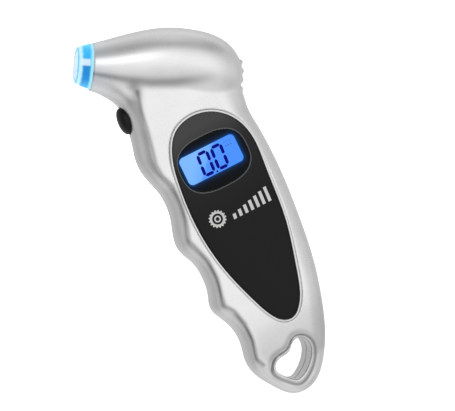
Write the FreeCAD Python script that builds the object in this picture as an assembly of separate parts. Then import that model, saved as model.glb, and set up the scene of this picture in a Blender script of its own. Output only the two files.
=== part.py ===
import FreeCAD, Part
import math
import os

# Digital tyre pressure gauge with a pistol-shaped body.
# Millimetres. Origin: centre of the nozzle mouth. +X runs back along the head,
# +Z is up, and the display faces -Y.
# The grip leans: its own frame has s down the grip and t across it.

V = FreeCAD.Vector

# ---- driving dimensions -------------------------------------------------
GRIP_TILT = 30.0          # lean of the grip and of the display, degrees
WALL = 1.9                # shell wall
GRIP_HALF = 10.3          # half thickness of the grip
TAIL_HALF = 6.6           # half thickness at the end of the tail
TAIL_START = 118.0        # s where the grip starts to thin
TAIL_END = 150.0          # s just past the tail
CAVITY_END = 124.0        # s where the hollow stops, above the lanyard hole
PROFILE_S = -20.0         # side profile of the grip: where it starts, and how far it runs across
PROFILE_T = (-60.0, 100.0)
EDGE_ROUND = 5.0          # rounding of the long edges of the grip
GAP = 0.3                 # running gap between moving pieces
FIT = 0.1                 # gap between pieces that sit together
CLOSE_FIT = 0.05
THROUGH = 20.0            # reach of cuts that go right through
OVERCUT = 1.0             # how far a tool shape runs past the face it starts from
SPACE = 400.0             # larger than the whole object
NEARLY_ALONG = 0.9        # cosine above which an edge counts as running along a direction

NOSE_LENGTH = 5.6         # clear nose in front of the shells
MOUTH_R = 6.9
MOUTH_BEVEL = 0.4
NOSE_R = 8.7
SPIGOT_R = 7.2
SPIGOT_END = 9.4
SPIGOT_HOLE_START = 4.6
SPIGOT_HOLE_LENGTH = 6.0
CHUCK_SLEEVE_R = 4.9
VALVE_BORE_R = 4.1        # a tyre valve's thread is 7.7 mm across
VALVE_DEPTH = 5.5
SEAL_END = 7.6
SEAL_R = 4.5
SEAL_HOLE_R = 1.7
POCKET_R = 3.0            # pocket of the depressor pin
POCKET_END = 11.0
DEPRESSOR_TIP = 5.8
DEPRESSOR_TIP_R = 0.4
DEPRESSOR_R = 0.7
DEPRESSOR_BEVEL = 0.3
VENT_DISC = (9.0, 10.0)   # faces of the vented disc, along X
VENT_R = 0.55
VENT_RING_R = 1.9
VENT_COUNT = 4
CHUCK_BODY_R = 6.0
CHUCK_NECK_R = 2.6
RIB_X0 = 18.6             # rib that holds the neck of the chuck
RIB_X1 = 20.0
RIB_R = 14.0
RIB_NOTCH_HALF = 2.5      # notch for the lamp wires
RIB_NOTCH_LOW = 4.0
BARB_R = 1.5
BARB_BORE_R = 0.8
BARB_END = 25.0
HOSE_R = 2.4
HOSE_BEND = 7.0
HOSE_START_GAP = 0.6
HOSE_END_GAP = 0.5
CLAMP_WALL = 0.5
CLAMP_LENGTH = 1.8
CLAMP_FROM_END = 3.0
FIRST_CLAMP_X = 22.0
LAMP_X = 17.8             # back of the nose lamp
LAMP_Z = 8.0
# Lamp with a collar and a domed front: distance from its back, radius
LAMP_PROFILE = [
    (0, 0), (0, 1.6), (0.6, 1.6), (0.6, 1.4), (3.2, 1.4), (3.9, 1.0), (4.2, 0.5), (4.25, 0),
]
WIRE_R = 0.4
LAMP_WIRE_BEND = 1.6
LAMP_WIRE_HALF_PITCH = 0.8
LAMP_WIRE_X = 36.0        # where the lamp wires leave the head
LAMP_WIRE_S = 43.0
LAMP_WIRE_T = 36.2

PANEL_THICK = 1.0
PANEL_PROUD = 0.1
PANEL_GAP = 0.1
PANEL_FACE = -GRIP_HALF - PANEL_PROUD

LCD_S = 53.5              # display centre in the grip frame
LCD_T = 28.7
WINDOW_S = 54.2           # window centre, a little lower than the display
WINDOW_T = 29.4
WINDOW_W = 26.6           # across the grip, between its corners
WINDOW_H = 20.2
GLASS_W = 27.0
GLASS_H = 15.5
GLASS_THICK = 1.5
GLASS_FRONT = -8.3
GLASS_LEDGE = 1.6         # how far the rear glass stands out past the front glass
FRAME_EXTRA = 2.4         # frame size over the glass size
FRAME_CORNER = 1.0
VIEW_W = 24.6             # opening behind the window
VIEW_H = 12.6
VIEW_CORNER = 1.5
VIEW_BACK = -6.0
WINDOW_BULGE = 2.2
WINDOW_CORNER = 4.0
PLATE_W = 25.0            # light guide
PLATE_H = 11.4
PLATE_CORNER = 0.6
LED_HALF = 1.6
LED_THICK = 0.8
LED_FRONT = -6.4
STRIP_OFFSET = 1.1        # connector strips above and below the light guide
STRIP_HALF = 0.8
STRIP_REACH = 12.0

BOARD_FRONT = -4.2        # front face of the circuit board
BOARD_THICK = 1.2
BOARD = (40.0, 80.0, 14.0, 42.0)        # s from, s to, t from, t to
BOARD_CORNER = 1.5
BOARD_REAR = BOARD_FRONT + BOARD_THICK

BUTTON_X = 19.9
BUTTON_Z = -19.4
BUTTON_TILT = 25.0        # the button axis dips this much below -X, degrees
BUTTON_R = 5.1
BUTTON_SHOULDER = 0.6     # height of the button's rim over the body
BUTTON_DOME = 1.7
FLANGE_R = 6.1
FLANGE_TOP = -2.6
FLANGE_BOTTOM = -3.5
STEM_R = 1.6
STEM_END = -6.0
DOME_STEPS = 6
BUTTON_HOLE_TOP = 10.0
BUTTON_HOLE_BOTTOM = -8.0
PLUNGER_R = 1.3
PLUNGER_LENGTH = 2.2
SWITCH_TOP = -7.6         # the button travels 0.8 mm before it bottoms on the switch
SWITCH_SIZE = 6.2
SWITCH_HEIGHT = 3.4
SWITCH_CORNER = 0.5
SWITCH_BOARD_WIDTH = 9.0
SWITCH_BOARD_THICK = 1.0
SWITCH_WIRE_DEPTH = 12.0  # where the wires start, behind the button's foot
SWITCH_WIRE_RUN = 3.0
SWITCH_WIRE_Y = -3.0
SWITCH_WIRE_PITCH = 1.6
SWITCH_WIRE_BEND = 0.8
SWITCH_WIRE_S = 42.0
SWITCH_WIRE_T = 18.0

DOOR = (79.5, 121.5, 15.5, 41.5)
DOOR_FLOOR = 8.6          # inner face of the battery door
DOOR_CORNER = 4.0
DOOR_REBATE = 2.0         # how far the opening reaches below the door
DOOR_LINES = 4            # grip lines
DOOR_LINE_START = 3.0
DOOR_LINE_PITCH = 1.8
DOOR_LINE_WIDTH = 0.8
DOOR_LINE_DEPTH = 0.4
DOOR_LINE_REACH = 7.0
DOOR_SCREW_SEAT = 9.2
DOOR_SCREW_SEAT_R = 2.0
DOOR_SCREW_R = 0.8
DOOR_SCREW_HEAD_R = 1.7
DOOR_SCREW_HEAD_H = 0.9
DOOR_SCREW_TIP_Y = 3.5
DOOR_SCREW_CROSS = (0.2, 1.1, 0.5)      # half width, half length and depth
TRAY = (81.5, 116.7, 17.2, 39.8)
TRAY_WALL = 1.2
TRAY_FRONT = -5.2
TRAY_REAR = 8.3
TRAY_CORNER = 1.0
LUG_R = 2.2
LUG_FRONT = 1.0
PILOT_R = 0.95
PILOT_END = 2.5
COIN_R = 10.0
COIN_THICK = 3.2
COIN_STEP = 0.6           # height and set-back of the coin cell's negative cap
COIN_STEP_IN = 1.2
COIN_SHELF = 1.5          # tray floor left under the coin cell
COIN_STRIP = (6.0, 2.0, 0.3)            # half length, half width and thickness
CELL_R = 5.8
CELL_CAP_R = 5.0
CELL_CAP_H = 0.7
CELL_LENGTH = 5.4
CELL_COUNT = 3
CONTACT_HALF = 4.0
CONTACT_THICK = 0.3
SPRING_BASE_R = 2.8
SPRING_TIP_R = 1.6
BATTERY_WIRE_T = (22.0, 34.0)
BATTERY_WIRE_Y = 0.8
BATTERY_WIRE_RUN = 3.6
BATTERY_WIRE_BEND = 1.2

# Head: x, centre height, half height, half depth
HEAD = [
    (NOSE_LENGTH, 0.0, NOSE_R, NOSE_R),
    (10.0, 0.3, 9.95, 9.9),
    (17.0, 1.3, 11.5, 11.5),
    (24.0, 2.6, 12.5, 12.7),
    (31.0, 3.5, 12.9, 13.6),
    (38.0, 3.8, 12.9, 14.0),
    (45.0, 3.4, 12.6, 13.8),
    (52.0, 2.2, 12.2, 12.8),
    (57.0, 1.2, 10.9, 10.9),
    (60.5, 0.6, 8.8, 8.4),
    (62.5, 0.0, 6.4, 6.0),
    (63.3, -0.2, 5.0, 4.6),
]

# Grip outline in the XZ plane, down the back and up the finger side
GRIP_OUTLINE = [
    (63.4, -5.0), (65.6, -10.5), (70.4, -18.0), (75.8, -26.4), (81.3, -36.2), (85.9, -45.6),
    (90.4, -55.6), (94.2, -65.0), (97.3, -75.0), (99.7, -85.0), (101.1, -94.0), (101.2, -102.0),
    (99.6, -110.4), (95.6, -115.8), (89.9, -117.8), (82.4, -115.4), (75.6, -111.7), (71.9, -107.2),
    (70.2, -102.2), (66.6, -95.7), (60.6, -90.8), (57.0, -87.6), (55.9, -83.0), (53.4, -76.6),
    (48.8, -70.7), (43.2, -66.2), (41.3, -62.0), (39.6, -54.8), (35.0, -46.0), (28.8, -39.8),
    (25.8, -35.6), (23.4, -28.4), (21.7, -23.2), (19.6, -18.4), (18.6, -11.0), (25.0, -2.0),
    (42.0, 2.0), (57.5, 0.6),
]

NECK_OUTLINE = [
    (8.0, -9.0), (11.3, -10.9), (14.5, -12.5), (17.6, -14.9), (20.4, -20.0), (24.0, -20.0),
    (26.0, -8.0), (16.0, -6.0), (9.0, -7.0),
]
NECK_HALF = 5.2

RIDGE_COUNT = 4           # thumb rest
RIDGE_TOP_Z = 4.8
RIDGE_PITCH = 3.3
RIDGE_R = 0.9
RIDGE_X = 63.2
RIDGE_HALF_MIDDLE = 4.0
RIDGE_HALF_END = 2.6

PANEL_OUTLINE = [
    (50.4, -14.2), (58.5, -15.7), (64.9, -20.5), (72.2, -33.5), (80.8, -52.1), (86.3, -70.7),
    (87.9, -85.0), (86.4, -88.4), (82.6, -89.9), (78.4, -88.6), (71.3, -83.5), (57.6, -70.7),
    (47.2, -56.6), (40.4, -43.0), (36.7, -31.0), (37.4, -22.8), (42.6, -16.8),
]

HEART_OUTLINE = [
    (90.1, -112.1), (86.9, -111.7), (83.6, -110.6), (81.3, -108.8), (81.1, -106.6), (82.3, -104.6),
    (84.5, -103.0), (86.0, -101.2), (86.6, -99.1), (87.6, -97.2), (89.3, -96.2), (91.6, -96.5),
    (93.6, -98.5), (94.5, -102.0), (93.9, -106.0), (92.2, -110.0),
]

# Shell screws in the grip frame: head, trigger side, finger side, back, tail
SHELL_SCREWS = [(20.8, 48.0), (40.5, 10.6), (84.0, 11.2), (76.5, 45.4), (126.0, 21.0)]
BOSS_R = 2.9
SCREW_R = 1.1
SCREW_HEAD_R = 2.1
SCREW_HEAD_Y = 3.2        # seat of the screw heads, deep in their wells
SCREW_HEAD_H = 1.5
SCREW_TIP_Y = -6.0
SCREW_CROSS = (0.25, 1.4, 0.8)          # half width, half length and depth
WELL_R = 2.5

BOARD_SCREWS = [(77.2, 16.8), (77.2, 39.2)]
BOARD_BOSS_R = 2.2
BOARD_SCREW_R = 0.8
BOARD_SCREW_TIP_Y = -8.0
BOARD_SCREW_GAP = 0.3     # between the screw's tip and the end of its hole
BOARD_SCREW_HEAD_R = 1.6
BOARD_SCREW_HEAD_H = 1.1
BOARD_SCREW_SLOT = (0.2, 1.1, 0.5)      # half width, half length and depth
CHIP_S = 59.0
CHIP_T = 27.0
CHIP_HALF_S = 4.0
CHIP_HALF_T = 3.0
CHIP_UNDER = 0.2
CHIP_TOP = 1.7
CHIP_CORNER = 0.3
LEG_COUNT = 8
LEG_PITCH = 1.0
LEG_HALF = 0.2
LEG_REACH = 4.2
LEG_HEIGHT = 0.3
# Rows of small parts: count, s of the first, pitch, length, t from, t to, height
PART_ROWS = [
    (4, 47.0, 3.2, 1.6, 18.0, 18.9, 0.8),
    (3, 66.0, 4.0, 2.0, 33.0, 34.4, 1.1),
]
CAPACITOR = (69.0, 21.0, 2.0, 3.6)      # s, t, radius and height
SENSOR_S = 32.0           # inlet face of the pressure sensor
SENSOR_T = 28.9
# Sensor can and barb: distance down from the inlet face, radius
SENSOR_CAN = [(0, 0), (0, 3.6), (0.9, 4.5), (5.8, 4.5), (5.8, 4.1), (6.8, 4.1), (6.8, 0)]
SENSOR_BARB = [(-5.5, 0.8), (-5.5, 1.2), (-4.6, BARB_R), (0, BARB_R), (0, 0.8)]
SENSOR_PORT_DEPTH = 2.0
PIN_R = 0.3
PIN_LENGTH = 6.0
PIN_START = 6.0
PIN_OFFSETS = (-3.0, -1.1, 1.1, 3.0)


# ---- helpers ------------------------------------------------------------
def to_grip(shape):
    """Turn a shape built with x = t and z = -s into the leaning grip frame."""
    turned = shape.copy()
    turned.rotate(V(0, 0, 0), V(0, 1, 0), -GRIP_TILT)
    return turned


def grip_point(s, t, y):
    """Point of the grip frame in object coordinates."""
    a = math.radians(GRIP_TILT)
    return V(s * math.sin(a) + t * math.cos(a), y, t * math.sin(a) - s * math.cos(a))


def grip_direction(ds, dt):
    """Unit direction in the grip frame, in object coordinates."""
    return grip_point(ds, dt, 0).normalize()


def edges_along(solid, direction):
    """Straight edges that run along a direction."""
    return [e for e in solid.Edges if abs(e.tangentAt(e.FirstParameter).dot(direction)) > NEARLY_ALONG]


def block(s0, s1, t0, t1, y0, y1, corner=0.0):
    """Box in the grip frame, its four corners rounded in the face plane."""
    solid = Part.makeBox(t1 - t0, y1 - y0, s1 - s0, V(t0, y0, -s1))
    if corner > 0.0:
        solid = solid.makeFillet(corner, edges_along(solid, V(0, 1, 0)))
    return to_grip(solid)


def rod(s, t, y0, y1, radius):
    """Cylinder through the thickness of the grip."""
    return to_grip(Part.makeCylinder(radius, y1 - y0, V(t, y0, -s), V(0, 1, 0)))


def turned(profile):
    """Solid of revolution about the nozzle axis from (x, r) points."""
    points = [V(x, 0, r) for x, r in profile]
    face = Part.Face(Part.makePolygon(points + [points[0]]))
    return face.revolve(V(0, 0, 0), V(1, 0, 0), 360)


def smooth_prism(outline, y0, y1):
    """Prism from y0 to y1 over a smooth closed outline in XZ."""
    curve = Part.BSplineCurve()
    curve.interpolate([V(x, y0, z) for x, z in outline], PeriodicFlag=True)
    face = Part.Face(Part.Wire([curve.toShape()]))
    return face.extrude(V(0, y1 - y0, 0))


def inset(outline, distance):
    """Outline moved inwards; the outlines here all run clockwise."""
    moved = []
    count = len(outline)
    for i in range(count):
        before = outline[i - 1]
        after = outline[(i + 1) % count]
        dx = after[0] - before[0]
        dz = after[1] - before[1]
        length = math.hypot(dx, dz)
        x = outline[i][0] + distance * dz / length
        z = outline[i][1] - distance * dx / length
        moved.append((x, z))
    return moved


def tube_along(points, radius, bend):
    """Round bar along straight runs joined by tangent arcs of radius bend."""
    pieces = []
    start = points[0]
    for i in range(1, len(points) - 1):
        into = (points[i] - points[i - 1]).normalize()
        out = (points[i + 1] - points[i]).normalize()
        turn = into.getAngle(out)
        trim = bend * math.tan(turn / 2)
        first = points[i] - into * trim
        last = points[i] + out * trim
        inward = (out - into).normalize()
        centre = points[i] + inward * (bend / math.cos(turn / 2))
        middle = centre - inward * bend
        pieces.append(Part.makeLine(start, first))
        pieces.append(Part.Arc(first, middle, last).toShape())
        start = last
    pieces.append(Part.makeLine(start, points[-1]))
    path = Part.Wire(pieces)
    ring = Part.Wire([Part.makeCircle(radius, points[0], points[1] - points[0])])
    return path.makePipeShell([ring], True, False)


def group(shapes):
    """Several separate solids kept in one node."""
    return Part.makeCompound(shapes)


def oriented(shape, origin, direction):
    """Move a shape built up along +Z so that its base is at origin, along direction."""
    placed = shape.copy()
    turn = FreeCAD.Rotation(V(0, 0, 1), direction)
    placed.Placement = FreeCAD.Placement(origin, turn)
    return placed


# ---- body envelope ------------------------------------------------------
def oval_points(x, centre, tall, deep, count=16):
    """Points round one oval section of the head."""
    points = []
    for i in range(count):
        a = 2 * math.pi * i / count
        points.append(V(x, deep * math.sin(a), centre + tall * math.cos(a)))
    return points


def head_loft(sections):
    """Smooth solid through oval sections."""
    wires = []
    for x, centre, tall, deep in sections:
        curve = Part.BSplineCurve()
        curve.interpolate(oval_points(x, centre, tall, deep), PeriodicFlag=True)
        wires.append(Part.Wire([curve.toShape()]))
    return Part.makeLoft(wires, True, False)


def head_outer():
    """Outside of the head, from the clear nose to the thumb rest."""
    return head_loft(HEAD)


def head_inner():
    """Hollow of the head."""
    sections = []
    for x, centre, tall, deep in HEAD[1:-2]:
        sections.append((x, centre, tall - WALL, deep - WALL))
    return head_loft(sections)


def side_profile(half, tail_half, s_end):
    """Limits the thickness of the grip: parallel, then thinning to the tail."""
    reach = TAIL_END - TAIL_START
    drop = (half - tail_half) * ((s_end - TAIL_START) / reach) ** 2
    middle_s = (TAIL_START + s_end) / 2

    def pt(s, y):
        return V(0, y, -s)

    edges = [
        Part.makeLine(pt(PROFILE_S, -half), pt(TAIL_START, -half)),
        Part.Arc(pt(TAIL_START, -half), pt(middle_s, -half + drop / 4), pt(s_end, -half + drop)).toShape(),
        Part.makeLine(pt(s_end, -half + drop), pt(s_end, half - drop)),
        Part.Arc(pt(s_end, half - drop), pt(middle_s, half - drop / 4), pt(TAIL_START, half)).toShape(),
        Part.makeLine(pt(TAIL_START, half), pt(PROFILE_S, half)),
        Part.makeLine(pt(PROFILE_S, half), pt(PROFILE_S, -half)),
    ]
    face = Part.Face(Part.Wire(edges))
    t0, t1 = PROFILE_T
    face.translate(V(t0, 0, 0))
    return to_grip(face.extrude(V(t1 - t0, 0, 0)))


def grip_solid(outline, half, tail_half, s_end, edge_round):
    """Grip: outline seen from the front, limited by the side profile, with rounded long edges."""
    slab = smooth_prism(outline, -half - OVERCUT, half + OVERCUT)
    solid = slab.common(side_profile(half, tail_half, s_end))
    edges = []
    for edge in solid.Edges:
        middle = edge.valueAt((edge.FirstParameter + edge.LastParameter) / 2)
        if edge.Curve.TypeId != "Part::GeomLine" and abs(middle.y) > tail_half / 2:
            edges.append(edge)
    return solid.makeFillet(edge_round, edges)


def thumb_ridges():
    """Four low ridges across the back of the head."""
    ridges = []
    for i in range(RIDGE_COUNT):
        z = RIDGE_TOP_Z - i * RIDGE_PITCH
        reach = RIDGE_HALF_MIDDLE if 0 < i < RIDGE_COUNT - 1 else RIDGE_HALF_END
        ridges.append(Part.makeCylinder(RIDGE_R, 2 * reach, V(RIDGE_X, -reach, z), V(0, 1, 0)))
    return ridges


def body_outer():
    """Whole outside of the two shells."""
    head = head_outer()
    grip = grip_solid(GRIP_OUTLINE, GRIP_HALF, TAIL_HALF, TAIL_END, EDGE_ROUND)
    neck = smooth_prism(NECK_OUTLINE, -NECK_HALF, NECK_HALF)
    return head.fuse([grip, neck] + thumb_ridges())


def chuck_rib():
    """Rib that holds the neck of the valve chuck, notched above for the lamp wires."""
    rib = Part.makeCylinder(RIB_R, RIB_X1 - RIB_X0, V(RIB_X0, 0, 0), V(1, 0, 0))
    hole = Part.makeCylinder(CHUCK_NECK_R, THROUGH, V(RIB_X0 - THROUGH / 2, 0, 0), V(1, 0, 0))
    notch = Part.makeBox(THROUGH, 2 * RIB_NOTCH_HALF, THROUGH,
                         V(RIB_X0 - THROUGH / 2, -RIB_NOTCH_HALF, RIB_NOTCH_LOW))
    return rib.cut([hole, notch])


def body_cavity():
    """Hollow of the shells, leaving the screw bosses and the chuck rib standing."""
    inner = inset(GRIP_OUTLINE, WALL)
    grip = grip_solid(inner, GRIP_HALF - WALL, TAIL_HALF - WALL, CAVITY_END, EDGE_ROUND - WALL)
    cavity = head_inner().fuse(grip)
    standing = [chuck_rib()]
    for s, t in SHELL_SCREWS:
        standing.append(rod(s, t, -THROUGH, THROUGH, BOSS_R))
    for s, t in BOARD_SCREWS:
        standing.append(rod(s, t, -THROUGH, BOARD_FRONT, BOARD_BOSS_R))
    return cavity.cut(standing)


# ---- power button axis ----------------------------------------------------
BUTTON_OUT = V(-math.cos(math.radians(BUTTON_TILT)), 0, -math.sin(math.radians(BUTTON_TILT)))
BUTTON_BASE = V(BUTTON_X, 0, BUTTON_Z)


def on_button(shape):
    """Place a shape built along +Z, with z = 0 at the surface, on the button axis."""
    turn = FreeCAD.Rotation(V(0, 1, 0), 180.0 + 90.0 - BUTTON_TILT)
    placed = shape.copy()
    placed.Placement = FreeCAD.Placement(BUTTON_BASE, turn)
    return placed


def stack_turned(profile):
    """Solid of revolution about +Z from (height, r) points."""
    points = [V(r, 0, h) for h, r in profile]
    face = Part.Face(Part.makePolygon(points + [points[0]]))
    return face.revolve(V(0, 0, 0), V(0, 0, 1), 360)


def button_space():
    """Hole in the shells for the button, wider behind the wall for its flange."""
    return on_button(stack_turned([
        (BUTTON_HOLE_TOP, 0.0), (BUTTON_HOLE_TOP, BUTTON_R + GAP), (FLANGE_TOP + GAP, BUTTON_R + GAP),
        (FLANGE_TOP + GAP, FLANGE_R + GAP), (BUTTON_HOLE_BOTTOM, FLANGE_R + GAP), (BUTTON_HOLE_BOTTOM, 0.0),
    ]))


# ---- shells ---------------------------------------------------------------
def window_shape(margin, y0, y1):
    """Rounded window with bowed edges, grown outwards by margin."""
    w = WINDOW_W / 2 + margin
    h = WINDOW_H / 2 + margin
    bulge = WINDOW_BULGE
    s = WINDOW_S
    t = WINDOW_T

    def pt(ds, dt):
        return V(t + dt, y0, -(s + ds))

    edges = [
        Part.Arc(pt(-h + bulge, -w), pt(-h, 0), pt(-h + bulge, w)).toShape(),
        Part.Arc(pt(-h + bulge, w), pt(0, w + bulge / 2), pt(h - bulge, w)).toShape(),
        Part.Arc(pt(h - bulge, w), pt(h, 0), pt(h - bulge, -w)).toShape(),
        Part.Arc(pt(h - bulge, -w), pt(0, -w - bulge / 2), pt(-h + bulge, -w)).toShape(),
    ]
    solid = Part.Face(Part.Wire(edges)).extrude(V(0, y1 - y0, 0))
    return to_grip(solid.makeFillet(WINDOW_CORNER, edges_along(solid, V(0, 1, 0))))


def shells():
    """Front and rear halves of the body."""
    walls = body_outer().cut(body_cavity())
    front_half = Part.makeBox(SPACE, SPACE, SPACE, V(-SPACE / 2, -SPACE, -SPACE / 2))
    rear_half = Part.makeBox(SPACE, SPACE, SPACE, V(-SPACE / 2, 0, -SPACE / 2))
    spigot_hole = Part.makeCylinder(SPIGOT_R, SPIGOT_HOLE_LENGTH, V(SPIGOT_HOLE_START, 0, 0), V(1, 0, 0))
    shared = [spigot_hole, button_space(), smooth_prism(HEART_OUTLINE, -THROUGH, THROUGH)]
    front_cuts = list(shared)
    front_cuts.append(smooth_prism(inset(PANEL_OUTLINE, -PANEL_GAP), -THROUGH, PANEL_FACE + PANEL_THICK))
    front_cuts.append(centred_block(VIEW_H, VIEW_W, -THROUGH, VIEW_BACK, VIEW_CORNER))
    for s, t in SHELL_SCREWS:
        front_cuts.append(rod(s, t, SCREW_TIP_Y, OVERCUT, SCREW_R))
    for s, t in BOARD_SCREWS:
        front_cuts.append(rod(s, t, BOARD_SCREW_TIP_Y, BOARD_FRONT, BOARD_SCREW_R))
    rear_cuts = list(shared)
    rear_cuts.append(block(DOOR[0] - GAP, DOOR[1] + GAP, DOOR[2] - GAP, DOOR[3] + GAP,
                           DOOR_FLOOR - DOOR_REBATE, THROUGH, DOOR_CORNER + GAP))
    for s, t in SHELL_SCREWS:
        rear_cuts.append(rod(s, t, -OVERCUT, SCREW_HEAD_Y, SCREW_R + FIT))
        rear_cuts.append(rod(s, t, SCREW_HEAD_Y, THROUGH, WELL_R))
    front = walls.common(front_half).cut(front_cuts)
    rear = walls.common(rear_half).cut(rear_cuts)
    return front, rear


# ---- display --------------------------------------------------------------
def display_panel():
    """Black teardrop fascia with the window opening."""
    plate = smooth_prism(PANEL_OUTLINE, PANEL_FACE, PANEL_FACE + PANEL_THICK)
    return plate.cut(window_shape(0.0, -THROUGH, 0))


def window_lens():
    """Glossy window in the fascia."""
    return window_shape(-PANEL_GAP, PANEL_FACE, PANEL_FACE + PANEL_THICK)


def centred_block(height, width, y0, y1, corner=0.0):
    """Block centred on the display."""
    return block(LCD_S - height / 2, LCD_S + height / 2, LCD_T - width / 2, LCD_T + width / 2,
                 y0, y1, corner)


def lcd_cell():
    """Display glass with the lower ledge of its rear glass."""
    middle = GLASS_FRONT + GLASS_THICK / 2
    front_glass = centred_block(GLASS_H - GLASS_LEDGE, GLASS_W, GLASS_FRONT, middle)
    rear_glass = centred_block(GLASS_H, GLASS_W, middle, GLASS_FRONT + GLASS_THICK)
    return front_glass.fuse(rear_glass)


def lcd_frame():
    """Frame that locates the display stack against the circuit board."""
    rim = centred_block(GLASS_H + FRAME_EXTRA, GLASS_W + FRAME_EXTRA,
                        GLASS_FRONT - CLOSE_FIT, BOARD_FRONT, FRAME_CORNER)
    return rim.cut(centred_block(GLASS_H + FIT, GLASS_W + FIT, -THROUGH, 0))


def backlight_plate():
    """Light guide behind the display."""
    return centred_block(PLATE_H, PLATE_W, GLASS_FRONT + GLASS_THICK + FIT, BOARD_FRONT - FIT, PLATE_CORNER)


def backlight_led():
    """Lamp at the right edge of the light guide."""
    t0 = LCD_T + PLATE_W / 2 + CLOSE_FIT
    return block(LCD_S - LED_HALF, LCD_S + LED_HALF, t0, t0 + LED_THICK, LED_FRONT, BOARD_FRONT)


def zebra_strips():
    """Two rubber connector strips between the glass and the board."""
    strips = []
    for side in (-1, 1):
        s = LCD_S + side * (PLATE_H / 2 + STRIP_OFFSET)
        strips.append(block(s - STRIP_HALF, s + STRIP_HALF, LCD_T - STRIP_REACH, LCD_T + STRIP_REACH,
                            GLASS_FRONT + GLASS_THICK, BOARD_FRONT))
    return group(strips)


# ---- circuit --------------------------------------------------------------
def circuit_board():
    """Main board, with holes for its two screws."""
    board = block(*BOARD, BOARD_FRONT, BOARD_REAR, BOARD_CORNER)
    holes = [rod(s, t, -THROUGH, 0, BOARD_SCREW_R + FIT) for s, t in BOARD_SCREWS]
    return board.cut(holes)


def board_screws():
    """Two small pan-head screws."""
    top = BOARD_REAR + BOARD_SCREW_HEAD_H
    half_width, half_length, depth = BOARD_SCREW_SLOT
    screws = []
    for s, t in BOARD_SCREWS:
        head = rod(s, t, BOARD_REAR, top, BOARD_SCREW_HEAD_R)
        shank = rod(s, t, BOARD_SCREW_TIP_Y + BOARD_SCREW_GAP, BOARD_REAR, BOARD_SCREW_R)
        slot = block(s - half_width, s + half_width, t - half_length, t + half_length,
                     top - depth, top + OVERCUT)
        screws.append(head.fuse(shank).cut(slot))
    return group(screws)


def microchip():
    """Controller chip with two rows of legs."""
    chip = block(CHIP_S - CHIP_HALF_S, CHIP_S + CHIP_HALF_S, CHIP_T - CHIP_HALF_T, CHIP_T + CHIP_HALF_T,
                 BOARD_REAR + CHIP_UNDER, BOARD_REAR + CHIP_TOP, CHIP_CORNER)
    legs = []
    for i in range(LEG_COUNT):
        s = CHIP_S + (i - (LEG_COUNT - 1) / 2) * LEG_PITCH
        legs.append(block(s - LEG_HALF, s + LEG_HALF, CHIP_T - LEG_REACH, CHIP_T + LEG_REACH,
                          BOARD_REAR, BOARD_REAR + LEG_HEIGHT))
    return chip.fuse(legs)


def board_parts():
    """Small surface-mounted parts beside the chip."""
    parts = []
    for count, first, pitch, length, t0, t1, height in PART_ROWS:
        for i in range(count):
            s = first + i * pitch
            parts.append(block(s, s + length, t0, t1, BOARD_REAR, BOARD_REAR + height))
    s, t, radius, height = CAPACITOR
    parts.append(rod(s, t, BOARD_REAR, BOARD_REAR + height, radius))
    return group(parts)


def pressure_sensor():
    """Sensor can with a hose barb and four pins lying on the board."""
    axis_start = grip_point(SENSOR_S, SENSOR_T, 0)
    down = grip_direction(1, 0)
    can = oriented(stack_turned(SENSOR_CAN), axis_start, down)
    barb = oriented(stack_turned(SENSOR_BARB), axis_start, down)
    port = oriented(Part.makeCylinder(BARB_BORE_R, SENSOR_PORT_DEPTH), axis_start, down)
    pins = []
    for offset in PIN_OFFSETS:
        start = grip_point(SENSOR_S + PIN_START, SENSOR_T + offset, BOARD_REAR + PIN_R)
        pins.append(oriented(Part.makeCylinder(PIN_R, PIN_LENGTH), start, down))
    return can.cut(port).fuse([barb] + pins)


# ---- air path -------------------------------------------------------------
def nozzle_lens():
    """Clear cone round the valve socket, with its spigot in the shells."""
    inner_r = CHUCK_SLEEVE_R + CLOSE_FIT
    bevel_r = MOUTH_R + (NOSE_R - MOUTH_R) * MOUTH_BEVEL / NOSE_LENGTH
    return turned([
        (0.0, inner_r), (0.0, MOUTH_R - MOUTH_BEVEL), (MOUTH_BEVEL, bevel_r), (NOSE_LENGTH, NOSE_R),
        (NOSE_LENGTH, SPIGOT_R), (SPIGOT_END, SPIGOT_R), (SPIGOT_END, inner_r),
    ])


def valve_chuck():
    """Socket for the tyre valve, with the hose barb behind it."""
    body_start = SPIGOT_END + FIT
    body_end = RIB_X0 - FIT
    return turned([
        (0.0, VALVE_BORE_R), (0.0, CHUCK_SLEEVE_R), (body_start, CHUCK_SLEEVE_R),
        (body_start, CHUCK_BODY_R), (body_end, CHUCK_BODY_R), (body_end, CHUCK_NECK_R),
        (RIB_X1, CHUCK_NECK_R), (RIB_X1, BARB_R), (BARB_END, BARB_R), (BARB_END, BARB_BORE_R),
        (POCKET_END, BARB_BORE_R), (POCKET_END, POCKET_R), (SEAL_END, POCKET_R), (SEAL_END, SEAL_R),
        (VALVE_DEPTH, SEAL_R), (VALVE_DEPTH, VALVE_BORE_R),
    ])


def valve_seal():
    """Rubber washer that the end of the tyre valve presses on."""
    return turned([
        (VALVE_DEPTH, SEAL_HOLE_R), (VALVE_DEPTH, SEAL_R), (SEAL_END, SEAL_R), (SEAL_END, SEAL_HOLE_R),
    ])


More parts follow.
